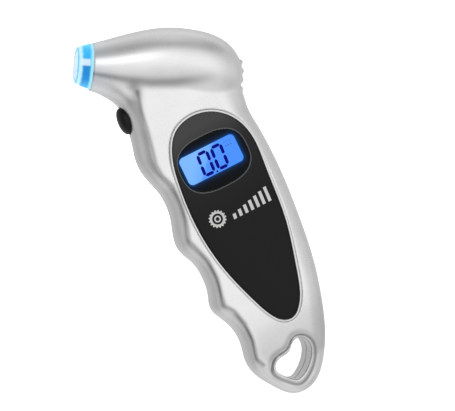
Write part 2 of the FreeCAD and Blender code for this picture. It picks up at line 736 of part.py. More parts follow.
def depressor_pin():
    """Fixed pin on a vented disc; it opens the valve core."""
    disc_front, disc_rear = VENT_DISC
    pin = turned([
        (DEPRESSOR_TIP, 0), (DEPRESSOR_TIP, DEPRESSOR_TIP_R), (DEPRESSOR_TIP + DEPRESSOR_BEVEL, DEPRESSOR_R),
        (disc_front, DEPRESSOR_R), (disc_front, POCKET_R), (disc_rear, POCKET_R), (disc_rear, 0),
    ])
    vents = []
    for i in range(VENT_COUNT):
        a = 2 * math.pi * (i + 0.5) / VENT_COUNT
        start = V(disc_front - OVERCUT, VENT_RING_R * math.sin(a), VENT_RING_R * math.cos(a))
        vents.append(Part.makeCylinder(VENT_R, disc_rear - disc_front + 2 * OVERCUT, start, V(1, 0, 0)))
    return pin.cut(vents)


def air_path():
    """Route of the hose from the chuck barb to the sensor barb."""
    corner_x = SENSOR_T / math.cos(math.radians(GRIP_TILT))
    end = grip_point(SENSOR_S - HOSE_END_GAP, SENSOR_T, 0)
    return [V(RIB_X1 + HOSE_START_GAP, 0, 0), V(corner_x, 0, 0), end]


def air_tube():
    """Soft hose pushed over both barbs."""
    outside = tube_along(air_path(), HOSE_R, HOSE_BEND)
    bore = tube_along(air_path(), BARB_R, HOSE_BEND)
    return outside.cut(bore)


def tube_clamps():
    """Two crimp rings on the hose."""
    outer_r = HOSE_R + CLAMP_WALL
    ring = stack_turned([(0, HOSE_R), (0, outer_r), (CLAMP_LENGTH, outer_r), (CLAMP_LENGTH, HOSE_R)])
    path = air_path()
    first = oriented(ring, V(FIRST_CLAMP_X, 0, 0), V(1, 0, 0))
    down = (path[2] - path[1]).normalize()
    second = oriented(ring, path[2] - down * CLAMP_FROM_END, down)
    return group([first, second])


# ---- lamp in the nose -----------------------------------------------------
def nozzle_led():
    """Round lamp behind the clear nose."""
    return oriented(stack_turned(LAMP_PROFILE), V(LAMP_X, 0, LAMP_Z), V(-1, 0, 0))


def led_wires():
    """Two insulated wires from the lamp to the board."""
    wires = []
    for y in (-LAMP_WIRE_HALF_PITCH, LAMP_WIRE_HALF_PITCH):
        route = [
            V(LAMP_X, y, LAMP_Z), V(LAMP_WIRE_X, y, LAMP_Z),
            grip_point(LAMP_WIRE_S, LAMP_WIRE_T + y, y),
            grip_point(LAMP_WIRE_S, LAMP_WIRE_T + y, BOARD_REAR),
        ]
        wires.append(tube_along(route, WIRE_R, LAMP_WIRE_BEND))
    return group(wires)


# ---- power button ---------------------------------------------------------
def power_button():
    """Domed rubber button with a retaining flange and a stem."""
    dome = []
    for i in range(DOME_STEPS):
        a = math.pi / 2 * i / DOME_STEPS
        dome.append((BUTTON_SHOULDER + BUTTON_DOME * math.sin(a), BUTTON_R * math.cos(a)))
    profile = [(STEM_END, 0), (STEM_END, STEM_R), (FLANGE_BOTTOM, STEM_R), (FLANGE_BOTTOM, FLANGE_R),
               (FLANGE_TOP, FLANGE_R), (FLANGE_TOP, BUTTON_R)]
    profile += dome
    profile.append((BUTTON_SHOULDER + BUTTON_DOME, 0))
    return on_button(stack_turned(profile))


def switch_plunger():
    """Plunger of the switch, moved by the button's stem."""
    foot = STEM_END - FIT - PLUNGER_LENGTH
    return on_button(Part.makeCylinder(PLUNGER_R, PLUNGER_LENGTH, V(0, 0, foot)))


def tact_switch():
    """Switch body behind the button."""
    half = SWITCH_SIZE / 2
    body = Part.makeBox(SWITCH_SIZE, SWITCH_SIZE, SWITCH_HEIGHT, V(-half, -half, SWITCH_TOP - SWITCH_HEIGHT))
    body = body.makeFillet(SWITCH_CORNER, edges_along(body, V(0, 0, 1)))
    well = Part.makeCylinder(PLUNGER_R + 2 * FIT, PLUNGER_LENGTH, V(0, 0, SWITCH_TOP - PLUNGER_LENGTH))
    return on_button(body.cut(well))


def switch_board():
    """Small board that carries the switch, held between the two shells."""
    reach = GRIP_HALF - WALL - FIT
    rear = SWITCH_TOP - SWITCH_HEIGHT - SWITCH_BOARD_THICK
    return on_button(Part.makeBox(SWITCH_BOARD_WIDTH, 2 * reach, SWITCH_BOARD_THICK,
                                  V(-SWITCH_BOARD_WIDTH / 2, -reach, rear)))


def switch_wires():
    """Two wires from the switch board to the main board."""
    wires = []
    for offset in (0.0, SWITCH_WIRE_PITCH):
        start = BUTTON_BASE - BUTTON_OUT * SWITCH_WIRE_DEPTH
        start.y = SWITCH_WIRE_Y + offset
        end_t = SWITCH_WIRE_T + offset
        route = [
            start, start - BUTTON_OUT * SWITCH_WIRE_RUN,
            grip_point(SWITCH_WIRE_S, end_t, start.y + SWITCH_WIRE_PITCH),
            grip_point(SWITCH_WIRE_S, end_t, BOARD_REAR),
        ]
        wires.append(tube_along(route, WIRE_R, SWITCH_WIRE_BEND))
    return group(wires)


# ---- battery bay ----------------------------------------------------------
CELL_S = TRAY[0] + TRAY_WALL + CELL_R + FIT
CELL_Y = TRAY_FRONT + TRAY_WALL + CELL_R + FIT
COIN_S = TRAY[1] - TRAY_WALL - COIN_R - FIT
BAY_T = (TRAY[2] + TRAY[3]) / 2
COIN_Y = 4.2
DOOR_SCREW_S = TRAY[1] + LUG_R


def battery_tray():
    """Tray with a trough for the small cells, a round pocket for the coin cell and a screw lug."""
    inner_t0 = TRAY[2] + TRAY_WALL
    inner_t1 = TRAY[3] - TRAY_WALL
    tray = block(*TRAY, TRAY_FRONT, TRAY_REAR, TRAY_CORNER)
    lug = rod(DOOR_SCREW_S, BAY_T, LUG_FRONT, TRAY_REAR, LUG_R)
    lug = lug.fuse(block(TRAY[1] - TRAY_WALL, DOOR_SCREW_S, BAY_T - LUG_R, BAY_T + LUG_R, LUG_FRONT, TRAY_REAR))
    trough = block(TRAY[0] + TRAY_WALL, CELL_S + CELL_R + FIT, inner_t0, inner_t1,
                   TRAY_FRONT + TRAY_WALL, THROUGH)
    pocket = rod(COIN_S, BAY_T, COIN_Y - GAP, THROUGH, COIN_R + FIT)
    under = block(COIN_S - COIN_R, TRAY[1] - TRAY_WALL, inner_t0, inner_t1,
                  TRAY_FRONT - OVERCUT, COIN_Y - COIN_SHELF)
    pilot = rod(DOOR_SCREW_S, BAY_T, PILOT_END, THROUGH, PILOT_R)
    return tray.fuse(lug).cut([trough, pocket, under, pilot])


def coin_cell():
    """Lithium coin cell for the lamp and the display light."""
    can = rod(COIN_S, BAY_T, COIN_Y + COIN_STEP, COIN_Y + COIN_THICK, COIN_R)
    cap = rod(COIN_S, BAY_T, COIN_Y, COIN_Y + COIN_STEP, COIN_R - COIN_STEP_IN)
    return can.fuse(cap)


def button_cells():
    """Stack of three small cells lying across the grip."""
    cells = []
    start = BAY_T - CELL_COUNT * CELL_LENGTH / 2
    across = grip_direction(0, 1)
    shoulder = CELL_LENGTH - CELL_CAP_H
    for i in range(CELL_COUNT):
        can = stack_turned([
            (0, 0), (0, CELL_R), (shoulder, CELL_R), (shoulder, CELL_CAP_R),
            (CELL_LENGTH, CELL_CAP_R), (CELL_LENGTH, 0),
        ])
        cells.append(oriented(can, grip_point(CELL_S, start + i * CELL_LENGTH, CELL_Y), across))
    return group(cells)


def battery_contacts():
    """Two end plates with springs for the small cells and a strip under the coin cell."""
    across = grip_direction(0, 1)
    half_stack = CELL_COUNT * CELL_LENGTH / 2
    inner_half = (TRAY[3] - TRAY[2]) / 2 - TRAY_WALL
    pieces = []
    length = inner_half - half_stack - CONTACT_THICK
    spring = stack_turned([(0, 0), (0, SPRING_BASE_R), (length, SPRING_TIP_R), (length, 0)])
    for side in (-1, 1):
        wall_t = BAY_T + side * inner_half
        plate_t = wall_t - side * CONTACT_THICK
        plate = block(CELL_S - CONTACT_HALF, CELL_S + CONTACT_HALF,
                      min(wall_t, plate_t), max(wall_t, plate_t),
                      CELL_Y - CONTACT_HALF, CELL_Y + CONTACT_HALF)
        foot = grip_point(CELL_S, plate_t, CELL_Y)
        pieces.append(plate.fuse(oriented(spring, foot, across * -side)))
    half_length, half_width, thick = COIN_STRIP
    pieces.append(block(COIN_S - half_length, COIN_S + half_length, BAY_T - half_width, BAY_T + half_width,
                        COIN_Y - thick, COIN_Y))
    return group(pieces)


def battery_wires():
    """Two wires from the tray to the board."""
    wires = []
    turn_s = TRAY[0] - BATTERY_WIRE_RUN
    for t in BATTERY_WIRE_T:
        route = [grip_point(TRAY[0], t, BATTERY_WIRE_Y), grip_point(turn_s, t, BATTERY_WIRE_Y),
                 grip_point(turn_s, t, BOARD_REAR)]
        wires.append(tube_along(route, WIRE_R, BATTERY_WIRE_BEND))
    return group(wires)


def cross_recess(s, t, top, size):
    """Two crossed slots in a screw head, as cutting solids."""
    half_width, half_length, depth = size
    return [
        block(s - a, s + a, t - b, t + b, top - depth, top + OVERCUT)
        for a, b in ((half_width, half_length), (half_length, half_width))
    ]


def battery_door():
    """Cover over the battery bay, following the back of the grip, with grip lines."""
    grip = grip_solid(GRIP_OUTLINE, GRIP_HALF, TAIL_HALF, TAIL_END, EDGE_ROUND)
    plate = block(*DOOR, DOOR_FLOOR, THROUGH, DOOR_CORNER).common(grip)
    cuts = [
        rod(DOOR_SCREW_S, BAY_T, 0, THROUGH, DOOR_SCREW_R + FIT),
        rod(DOOR_SCREW_S, BAY_T, DOOR_SCREW_SEAT, THROUGH, DOOR_SCREW_SEAT_R),
    ]
    for i in range(DOOR_LINES):
        s = DOOR[0] + DOOR_LINE_START + DOOR_LINE_PITCH * i
        cuts.append(block(s, s + DOOR_LINE_WIDTH, BAY_T - DOOR_LINE_REACH, BAY_T + DOOR_LINE_REACH,
                          GRIP_HALF - DOOR_LINE_DEPTH, THROUGH))
    return plate.cut(cuts)


def door_screw():
    """Screw that holds the battery door to the tray lug."""
    top = DOOR_SCREW_SEAT + DOOR_SCREW_HEAD_H
    head = rod(DOOR_SCREW_S, BAY_T, DOOR_SCREW_SEAT, top, DOOR_SCREW_HEAD_R)
    shank = rod(DOOR_SCREW_S, BAY_T, DOOR_SCREW_TIP_Y, DOOR_SCREW_SEAT, DOOR_SCREW_R)
    return head.fuse(shank).cut(cross_recess(DOOR_SCREW_S, BAY_T, top, DOOR_SCREW_CROSS))


def shell_screws():
    """Self-tapping screws, deep in the wells of the rear shell."""
    screws = []
    for s, t in SHELL_SCREWS:
        top = SCREW_HEAD_Y + SCREW_HEAD_H
        head = rod(s, t, SCREW_HEAD_Y, top, SCREW_HEAD_R)
        shank = rod(s, t, SCREW_TIP_Y, SCREW_HEAD_Y, SCREW_R)
        screws.append(head.fuse(shank).cut(cross_recess(s, t, top, SCREW_CROSS)))
    return group(screws)


# ---- write every piece ----------------------------------------------------
def main():
    os.makedirs("parts", exist_ok=True)
    front_shell, rear_shell = shells()
    pieces = {
        "front_shell": front_shell,
        "rear_shell": rear_shell,
        "display_panel": display_panel(),
        "window_lens": window_lens(),
        "lcd_cell": lcd_cell(),
        "lcd_frame": lcd_frame(),
        "backlight_plate": backlight_plate(),
        "backlight_led": backlight_led(),
        "zebra_strips": zebra_strips(),
        "circuit_board": circuit_board(),
        "board_screws": board_screws(),
        "microchip": microchip(),
        "board_parts": board_parts(),
        "pressure_sensor": pressure_sensor(),
        "nozzle_lens": nozzle_lens(),
        "valve_chuck": valve_chuck(),
        "valve_seal": valve_seal(),
        "depressor_pin": depressor_pin(),
        "air_tube": air_tube(),
        "tube_clamps": tube_clamps(),
        "nozzle_led": nozzle_led(),
        "led_wires": led_wires(),
        "power_button": power_button(),
        "switch_plunger": switch_plunger(),
        "tact_switch": tact_switch(),
        "switch_board": switch_board(),
        "switch_wires": switch_wires(),
        "battery_tray": battery_tray(),
        "coin_cell": coin_cell(),
        "button_cells": button_cells(),
        "battery_contacts": battery_contacts(),
        "battery_wires": battery_wires(),
        "battery_door": battery_door(),
        "door_screw": door_screw(),
        "shell_screws": shell_screws(),
    }
    for name, shape in pieces.items():
        state = "ok" if shape.isValid() else "INVALID"
        print(f"{name:18s} {state} solids {len(shape.Solids)} volume {shape.Volume:9.1f}")
        shape.exportStep(f"parts/{name}.step")


main()
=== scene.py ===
"""Looks of the pistol-shaped tyre pressure gauge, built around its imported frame.

Lengths are in millimetres until a mesh is made. +X runs back along the head, +Z is up and the
display faces -Y. The grip leans: s runs down it and t across it.
"""
import math

import bmesh
import bpy
import numpy as np
from mathutils import Matrix, Vector


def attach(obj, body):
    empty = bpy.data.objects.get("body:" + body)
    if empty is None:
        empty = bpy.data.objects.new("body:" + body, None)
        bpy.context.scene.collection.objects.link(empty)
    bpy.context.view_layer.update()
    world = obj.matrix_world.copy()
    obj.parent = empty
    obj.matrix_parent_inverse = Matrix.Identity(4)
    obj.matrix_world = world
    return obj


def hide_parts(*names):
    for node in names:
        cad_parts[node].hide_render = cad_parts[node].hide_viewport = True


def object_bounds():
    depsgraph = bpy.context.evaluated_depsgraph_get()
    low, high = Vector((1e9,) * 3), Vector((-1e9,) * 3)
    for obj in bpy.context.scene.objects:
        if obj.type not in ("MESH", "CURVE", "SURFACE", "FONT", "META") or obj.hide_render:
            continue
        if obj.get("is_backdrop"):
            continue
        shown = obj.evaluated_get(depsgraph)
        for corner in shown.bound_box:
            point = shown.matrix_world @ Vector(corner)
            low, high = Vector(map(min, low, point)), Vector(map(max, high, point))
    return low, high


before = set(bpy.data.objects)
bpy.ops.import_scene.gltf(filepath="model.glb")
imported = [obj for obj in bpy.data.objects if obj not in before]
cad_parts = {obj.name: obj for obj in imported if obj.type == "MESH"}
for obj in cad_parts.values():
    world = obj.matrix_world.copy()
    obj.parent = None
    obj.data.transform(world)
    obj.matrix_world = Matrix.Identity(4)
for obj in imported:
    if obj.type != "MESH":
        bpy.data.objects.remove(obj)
CAD_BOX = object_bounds()

MM = 0.001
TILT = math.radians(30.0)
SIN = math.sin(TILT)
COS = math.cos(TILT)

# ---- camera ----
CAMERA_YAW = math.radians(11.0)       # seen a little from the nozzle's side
CAMERA_ROLL = math.radians(3.5)       # the head dips towards its back in the view
CAMERA_DISTANCE = 1.0
CAMERA_TARGET = Vector((0.0607, 0.0, -0.0486))
CAMERA_LENS = 210.4


def add_camera():
    """Long lens at the height of the grip's middle."""
    camera = bpy.data.objects.new("camera", bpy.data.cameras.new("camera"))
    camera.data.lens = CAMERA_LENS
    camera.data.clip_start = 0.01
    level = Matrix.Rotation(-CAMERA_YAW, 4, "Z") @ Matrix.Rotation(math.radians(90.0), 4, "X")
    rolled = level @ Matrix.Rotation(CAMERA_ROLL, 4, "Z")
    back = Matrix.Translation((0.0, 0.0, CAMERA_DISTANCE))
    camera.matrix_world = Matrix.Translation(CAMERA_TARGET) @ rolled @ back
    bpy.context.scene.collection.objects.link(camera)
    bpy.context.scene.camera = camera


add_camera()

# ---- outlines, in XZ ----
# Grip and neck, down the back and up the finger side
BODY_OUTLINE = [
    (63.4, -5.0), (65.6, -10.5), (70.4, -18.0), (75.8, -26.4), (81.3, -36.2), (85.9, -45.6),
    (90.4, -55.6), (94.2, -65.0), (97.3, -75.0), (99.7, -85.0), (101.1, -94.0), (101.2, -102.0),
    (99.6, -110.4), (95.6, -115.8), (89.9, -117.8), (82.4, -115.4), (75.6, -111.7), (71.9, -107.2),
    (70.2, -102.2), (66.6, -95.7), (60.6, -90.8), (57.0, -87.6), (55.9, -83.0), (53.4, -76.6),
    (48.8, -70.7), (43.2, -66.2), (41.3, -62.0), (39.6, -54.8), (35.0, -46.0), (28.8, -39.8),
    (25.8, -35.6), (23.4, -28.4), (21.7, -23.2), (19.6, -18.2), (16.6, -14.0), (12.2, -11.3),
    (6.6, -9.3), (1.0, -7.6), (4.0, -2.0), (20.0, 1.0), (42.0, 2.0), (57.5, 0.6),
]
# Finger side of the raised front of the grip
FINGER_EDGE = [
    (22.3, -8.6), (24.2, -15.4), (26.6, -21.8), (28.8, -28.4), (30.9, -35.2), (33.4, -39.0),
    (37.6, -42.5), (41.3, -49.0), (43.6, -55.2), (45.2, -62.6), (48.0, -65.2), (52.6, -69.4),
    (56.6, -75.8), (58.8, -82.8), (60.2, -86.0), (63.6, -87.6), (68.0, -92.0), (71.6, -98.4),
    (73.7, -105.2), (76.4, -107.3),
]
# All of the raised front: below the lanyard hole, then out past the back and the head
FACE_OUTLINE = FINGER_EDGE + [
    (79.4, -108.9), (83.6, -112.6), (90.6, -114.4), (94.6, -110.6), (97.4, -104.0), (106.0, -98.0),
    (110.0, -60.0), (100.0, -20.0), (76.0, 6.0), (50.0, 12.0), (26.0, 8.0), (21.6, 0.0),
]
# The same, carried on under the barrel to the nose
WEB_OUTLINE = FACE_OUTLINE[1:-2] + [
    (26.0, 8.0), (10.0, 3.0), (2.0, -2.0), (5.0, -4.6), (12.0, -6.6), (18.5, -8.6), (22.0, -11.2),
]
# Lines along which shade is painted: under the barrel, and where the neck leaves it
BARREL_SHADE_LINE = [
    (5.0, -3.0), (11.4, -3.7), (19.0, -4.6), (27.0, -4.9), (36.0, -4.1), (44.0, -2.8), (50.0, -1.6),
]
NECK_SHADE_LINE = [(20.6, -7.2), (21.8, -9.0)]
PANEL_OUTLINE = [
    (50.4, -14.2), (58.5, -15.7), (64.9, -20.5), (72.2, -33.5), (80.8, -52.1), (86.3, -70.7),
    (87.9, -85.0), (86.4, -88.4), (82.6, -89.9), (78.4, -88.6), (71.3, -83.5), (57.6, -70.7),
    (47.2, -56.6), (40.4, -43.0), (36.7, -31.0), (37.4, -22.8), (42.6, -16.8),
]
HEART_OUTLINE = [
    (90.1, -112.1), (86.9, -111.7), (83.6, -110.6), (81.3, -108.8), (81.1, -106.6), (82.3, -104.6),
    (84.5, -103.0), (86.0, -101.2), (86.6, -99.1), (87.6, -97.2), (89.3, -96.2), (91.6, -96.5),
    (93.6, -98.5), (94.5, -102.0), (93.9, -106.0), (92.2, -110.0),
]
# Foot of the raised bead round the lanyard hole
BEAD_OUTLINE = [
    (79.7, -107.0), (80.8, -104.0), (84.0, -101.6), (85.7, -98.9), (86.8, -96.3), (89.5, -95.0),
    (92.5, -95.5), (94.9, -97.6), (96.3, -103.5), (94.9, -109.2), (91.2, -113.8), (86.5, -113.3),
    (82.0, -111.6), (79.9, -109.6),
]

# ---- sizes of the body ----
# Pairs that end in _X, _Z, _S or _T are ranges; centres on the grip are (s, t)
GRIP_HALF = 10.3
TAIL_HALF = 6.6
TAIL_START = 118.0
TAIL_END = 150.0
TAIL_POWER = 1.4          # how suddenly the tail thins
HOLLOW_END = 124.0
HOLLOW_START_X = 10.0
WALL = 1.9
NOSE_LENGTH = 5.6
NOSE_R = 8.7
SPIGOT_R = 7.2
SPIGOT_END = 10.5
CREST_X = 38.0            # thickest section of the head: place, height, half height and half depth
CREST_Z = 3.8
CREST_TALL = 12.95
CREST_DEEP = 14.1
TALL_LOSS = 4.3           # how much less its half height is at the nose
TALL_REACH = 30.0
DEEP_REACH = 36.0
HEAD_BACK = 25.2          # from the crest to the back of the head
HEAD_SINK = 4.0           # how far the sections sink towards the back
SINK_REACH = 25.3
BAND_REACH = 0.70         # share of the full rounding that the finger band covers before its crease
BAND_POWER = 2.5
WEB_HALF = 9.2            # half thickness of the neck where it leaves the barrel
WEB_LOSS = 2.2            # how much less it is by the nose
WEB_LOSS_X = (5.0, 18.0)
NECK_Z = (-24.0, -10.0)   # heights between which the grip thins to the neck
NECK_STEP = (-2.5, 3.0)   # the same, by distance inside the raised face
BACK_WIDTH = 8.0          # rounding of the back edge
NECK_WIDTH = 4.0          # extra rounding of it beside the head
NECK_WIDTH_S = (25.0, 50.0)
BACK_T = (27.0, 34.0)     # where the finger side's form gives way to the back's
OUTSIDE_SLOPE = 20.0      # how fast the squared thickness falls outside the finger side
BEAD_RISE = 0.55          # bead round the lanyard hole, and the groove at its foot
BEAD_SLOPE = 0.8
BEAD_GROOVE = 0.80
GROOVE_OUT = 0.4
GROOVE_WIDTH = 0.6
HEAD_FILLET = 2.6
PART_GAP = 0.04           # half the gap between the two shells
EDGE = 0.3                # usual rounding where two forms meet, then the ones that differ
RIDGE_EDGE = 0.8
HOLLOW_EDGE = 1.0
PART_EDGE = 0.35
HOLE_EDGE = 0.6
BUTTON_EDGE = 0.5
SEAT_EDGE = 0.2
WELL_EDGE = 0.4
DOOR_EDGE = 0.7
GRIP_LINE_EDGE = 0.2
DOOR_CENTRE = (100.5, 28.5)
DOOR_HALF = (21.0, 13.0)
DOOR_CORNER = 4.0
DOOR_FLOOR = 8.6
DOOR_THICK = 2.0
DOOR_GAP = 0.25
SHELL_SCREWS = [(20.8, 48.0), (40.5, 10.6), (84.0, 11.2), (76.5, 45.4), (126.0, 21.0)]
WELL_R = 2.5
WELL_FLOOR = 3.2
BOSS_R = 3.4
BUTTON_CENTRE = (19.9, -19.4)
BUTTON_TILT = math.radians(25.0)
BUTTON_R = 5.2
BUTTON_GAP = 0.1
BUTTON_WELL = 9.0
BUTTON_STEP = 0.55        # where the dome starts, and its height
BUTTON_RISE = 2.25
LCD_CENTRE = (53.5, 28.7)
VIEW_HALF = (6.2, 12.2)   # opening behind the display
VIEW_CORNER = 1.5
VIEW_FLOOR = 6.0
PANEL_FLOOR = 9.4
PANEL_EDGE = 10.2
PANEL_CROWN = 0.7
LIP_WIDTH = 0.90
LIP_GAP = 0.96            # from the panel's edge to the shell's own edge
LIP_CLOSING = 0.30        # how much nearer that edge is along the finger side
LIP_CLOSING_S = (46.0, 58.0)
LIP_CLOSING_T = (22.0, 30.0)
WINDOW_CENTRE = (54.2, 29.4)
DOOR_SCREW_S = 118.9
DOOR_TOP = 10.3
SEAT_R = 2.9
SEAT_FLOOR = 9.2
GRIP_LINES = 5
GRIP_LINE_S = 84.5
GRIP_LINE_PITCH = 2.0
GRIP_LINE_R = 0.55
GRIP_LINE_HALF = 6.0      # half length of the longest, and how much shorter each next one is
GRIP_LINE_LOSS = 0.8
THUMB_RIDGES = [(61.7, 5.4), (62.2, 2.1), (62.3, -1.2), (62.4, -4.6)]
RIDGE_R = 1.05
RIDGE_HALF = 3.4          # half length of a ridge at mid height, and its loss with height
RIDGE_TAPER = 0.12
# Painted shade: the face's colour is darkened towards the tail
TAIL_SHADE = 0.22         # how much darker the face is towards the tail
TAIL_SHADE_S = (108.0, 128.0)

STEP = 0.5
FAR = 1e9


# ---- curves and distances ----
def closed_spline(points, count):
    """Points evenly spaced along the smooth closed curve through the given ones."""
    start = np.array(points)
    end = np.roll(start, -1, 0)
    step = np.linalg.norm(end - start, axis=1)
    slope = (end - start) / step[:, None]
    before = np.roll(step, 1)
    rows = 2 * np.diag(before + step)
    rows += np.roll(np.diag(step), 1, 1) + np.roll(np.diag(before), -1, 1)
    bend = np.linalg.solve(rows, 6 * (slope - np.roll(slope, 1, 0)))
    next_bend = np.roll(bend, -1, 0)
    dense = []
    for i in range(len(start)):
        for u in np.linspace(0, 1, 24, endpoint=False):
            v = 1 - u
            curve = step[i] ** 2 / 6 * ((v ** 3 - v) * bend[i] + (u ** 3 - u) * next_bend[i])
            dense.append(v * start[i] + u * end[i] + curve)
    return resample(np.array(dense), count)


def resample(closed, count):
    """Evenly spaced points along a closed polyline."""
    loop = np.vstack([closed, closed[:1]])
    run = np.concatenate([[0], np.cumsum(np.linalg.norm(np.diff(loop, axis=0), axis=1))])
    at = np.linspace(0, run[-1], count, endpoint=False)
    return np.stack([np.interp(at, run, loop[:, 0]), np.interp(at, run, loop[:, 1])], 1)


def outward_normals(loop):
    """Unit normals of a clockwise loop, pointing out of it."""
    along = np.roll(loop, -1, 0) - np.roll(loop, 1, 0)
    along /= np.linalg.norm(along, axis=1)[:, None]
    return np.stack([-along[:, 1], along[:, 0]], 1)


def nearest_squared(points, x, z):
    """Squared distance to an open line."""
    near = np.full(x.shape, FAR)
    for (ax, az), (bx, bz) in zip(points, points[1:]):
        dx = bx - ax
        dz = bz - az
        along = np.clip(((x - ax) * dx + (z - az) * dz) / (dx * dx + dz * dz), 0, 1)
        near = np.minimum(near, (x - ax - along * dx) ** 2 + (z - az - along * dz) ** 2)
    return near


def distance_inside(loop, x, z):
    """Distance to a closed loop, positive inside it."""
    closed = np.vstack([loop, loop[:1]])
    crossings = np.zeros(x.shape, int)
    for (ax, az), (bx, bz) in zip(closed, closed[1:]):
        if bz != az:
            straddles = (az > z) != (bz > z)
            crossings += straddles & (x < ax + (z - az) * (bx - ax) / (bz - az))
    return np.where(crossings % 2 == 1, 1.0, -1.0) * np.sqrt(nearest_squared(closed, x, z))


def between(value, low, high):
    """0 at low, 1 at high, with level ends."""
    u = np.clip((value - low) / (high - low), 0, 1)
    return u * u * (3 - 2 * u)


def soft_max(a, b, width):
    """Larger of two values, blended where they are within width of each other."""
    h = np.maximum(width - np.abs(a - b), 0) / width
    return np.maximum(a, b) + h * h * width / 4


def soft_min(a, b, width):
    """Smaller of two values, blended in the same way."""
    return -soft_max(-a, -b, width)


def st_of(x, z):
    """Grip coordinates of a point."""
    return x * SIN - z * COS, x * COS + z * SIN


def xz_of(s, t):
    """Object coordinates of a point of the grip."""
    return s * SIN + t * COS, t * SIN - s * COS


def rounded_box(u, v, half_u, half_v, corner):
    """Distance to a rounded rectangle, negative inside."""
    du = np.abs(u) - half_u + corner
    dv = np.abs(v) - half_v + corner
    outside = np.hypot(np.maximum(du, 0), np.maximum(dv, 0))
    return outside + np.minimum(np.maximum(du, dv), 0) - corner


# ---- thickness map of the body ----
GRID_X = np.arange(-2.0, 107.0, STEP)
GRID_Z = np.arange(-123.0, 21.0, STEP)
GX, GZ = np.meshgrid(GRID_X, GRID_Z, indexing="ij")


def head_squared(x, z):
    """Squared half thickness of the head: oval sections, closed at the back."""
    behind = np.maximum(x - CREST_X, 0)
    ahead = x - NOSE_LENGTH
    centre = CREST_Z * between(x, NOSE_LENGTH, CREST_X) - HEAD_SINK * (behind / SINK_REACH) ** 1.8
    tall = CREST_TALL - TALL_LOSS * np.maximum(1 - ahead / TALL_REACH, 0) ** 2.2
    deep = CREST_DEEP - (CREST_DEEP - NOSE_R) * np.maximum(1 - ahead / DEEP_REACH, 0) ** 2
    return deep ** 2 * (1 - ((z - centre) / tall) ** 2 - (behind / HEAD_BACK) ** 4.2)


def face_half(s):
    """Half thickness of the raised face down the grip."""
    past = np.maximum((s - TAIL_START) / (TAIL_END - TAIL_START), 0)
    return GRIP_HALF - (GRIP_HALF - TAIL_HALF) * past ** TAIL_POWER


def grip_squared(x, z):
    """Squared half thickness of the grip: raised face, lower finger band and rounded back."""
    s, t = st_of(x, z)
    inside = distance_inside(closed_spline(BODY_OUTLINE, 360), x, z)
    face = distance_inside(closed_spline(FACE_OUTLINE, 300), x, z)
    web = distance_inside(closed_spline(WEB_OUTLINE, 300), x, z)
    bead = distance_inside(closed_spline(BEAD_OUTLINE, 160), x, z)
    top = face_half(s)
    low = 1 - (WEB_HALF - WEB_LOSS * (1 - between(x, *WEB_LOSS_X))) / GRIP_HALF
    neck = 1 - low * between(z, *NECK_Z) * (1 - between(face, *NECK_STEP))
    within = np.maximum(inside, 0)
    across = within / (within + np.maximum(-web, 0) + 0.01)
    curve = (1 - (1 - BAND_REACH * across) ** BAND_POWER) / (1 - (1 - BAND_REACH) ** BAND_POWER)
    finger = np.where(inside > 0, (top * neck) ** 2 * curve ** (2 / BAND_POWER), OUTSIDE_SLOPE * inside)
    width = BACK_WIDTH + NECK_WIDTH * (1 - between(s, *NECK_WIDTH_S))
    back = top ** 2 * (1 - (1 - np.minimum(inside / width, 1)) ** 2)
    share = between(t, *BACK_T)
    plain = (1 - share) * finger + share * back
    relief = BEAD_RISE * between(bead, 0.0, BEAD_SLOPE)
    relief -= BEAD_GROOVE * np.exp(-((bead + GROOVE_OUT) / GROOVE_WIDTH) ** 2)
    return np.where(inside > 1.0, (np.sqrt(np.maximum(plain, 0)) + relief) ** 2, plain)


def soften(values, passes):
    """Small blur that takes the ridges out of a map."""
    for _ in range(passes):
        for axis in (0, 1):
            values = (np.roll(values, 1, axis) + 2 * values + np.roll(values, -1, axis)) / 4
    return values


def body_map():
    """Squared half thickness of the whole body over the grid; negative outside it."""
    head = head_squared(GX, GZ)
    grip = grip_squared(GX, GZ)
    joined = soft_max(np.sqrt(np.maximum(head, 0)), np.sqrt(np.maximum(grip, 0)), HEAD_FILLET)
    both = (head > 0) & (grip > 0)
    return soften(np.where(both, joined ** 2, np.maximum(head, grip)), 2)


THICK = body_map()
SLOPE = np.hypot(*np.gradient(THICK, STEP))
HEART = -distance_inside(closed_spline(HEART_OUTLINE, 120), GX, GZ)
PANEL = -distance_inside(closed_spline(PANEL_OUTLINE, 160), GX, GZ)


def painted_shade_map():
    """How much shade is painted into the paint's colour over the grid: in the hollows, and towards the
    tail.
    """
    s, _ = st_of(GX, GZ)
    face = distance_inside(closed_spline(FACE_OUTLINE, 160), GX, GZ)
    bead = closed_spline(BEAD_OUTLINE, 80)
    light = 1 - TAIL_SHADE * between(s, *TAIL_SHADE_S) * between(face, 0.0, 3.0)
    # Each line with its reach and the depth of the shade painted along it
    for line, reach, depth in [
        (BARREL_SHADE_LINE, 0.9 + between(GX, 6.0, 26.0), 0.56 * (1 - between(GX, 36.0, 56.0))),
        (NECK_SHADE_LINE, 2.2, 0.50),
        (FINGER_EDGE, 0.72, 0.60),
        (np.vstack([bead, bead[:1]]), 0.6, 0.60),
    ]:
        light = light * (1 - depth * np.exp(-nearest_squared(line, GX, GZ) / reach ** 2))
    return 1 - light


MAPS = np.stack([THICK, SLOPE, HEART, PANEL, painted_shade_map()], -1)


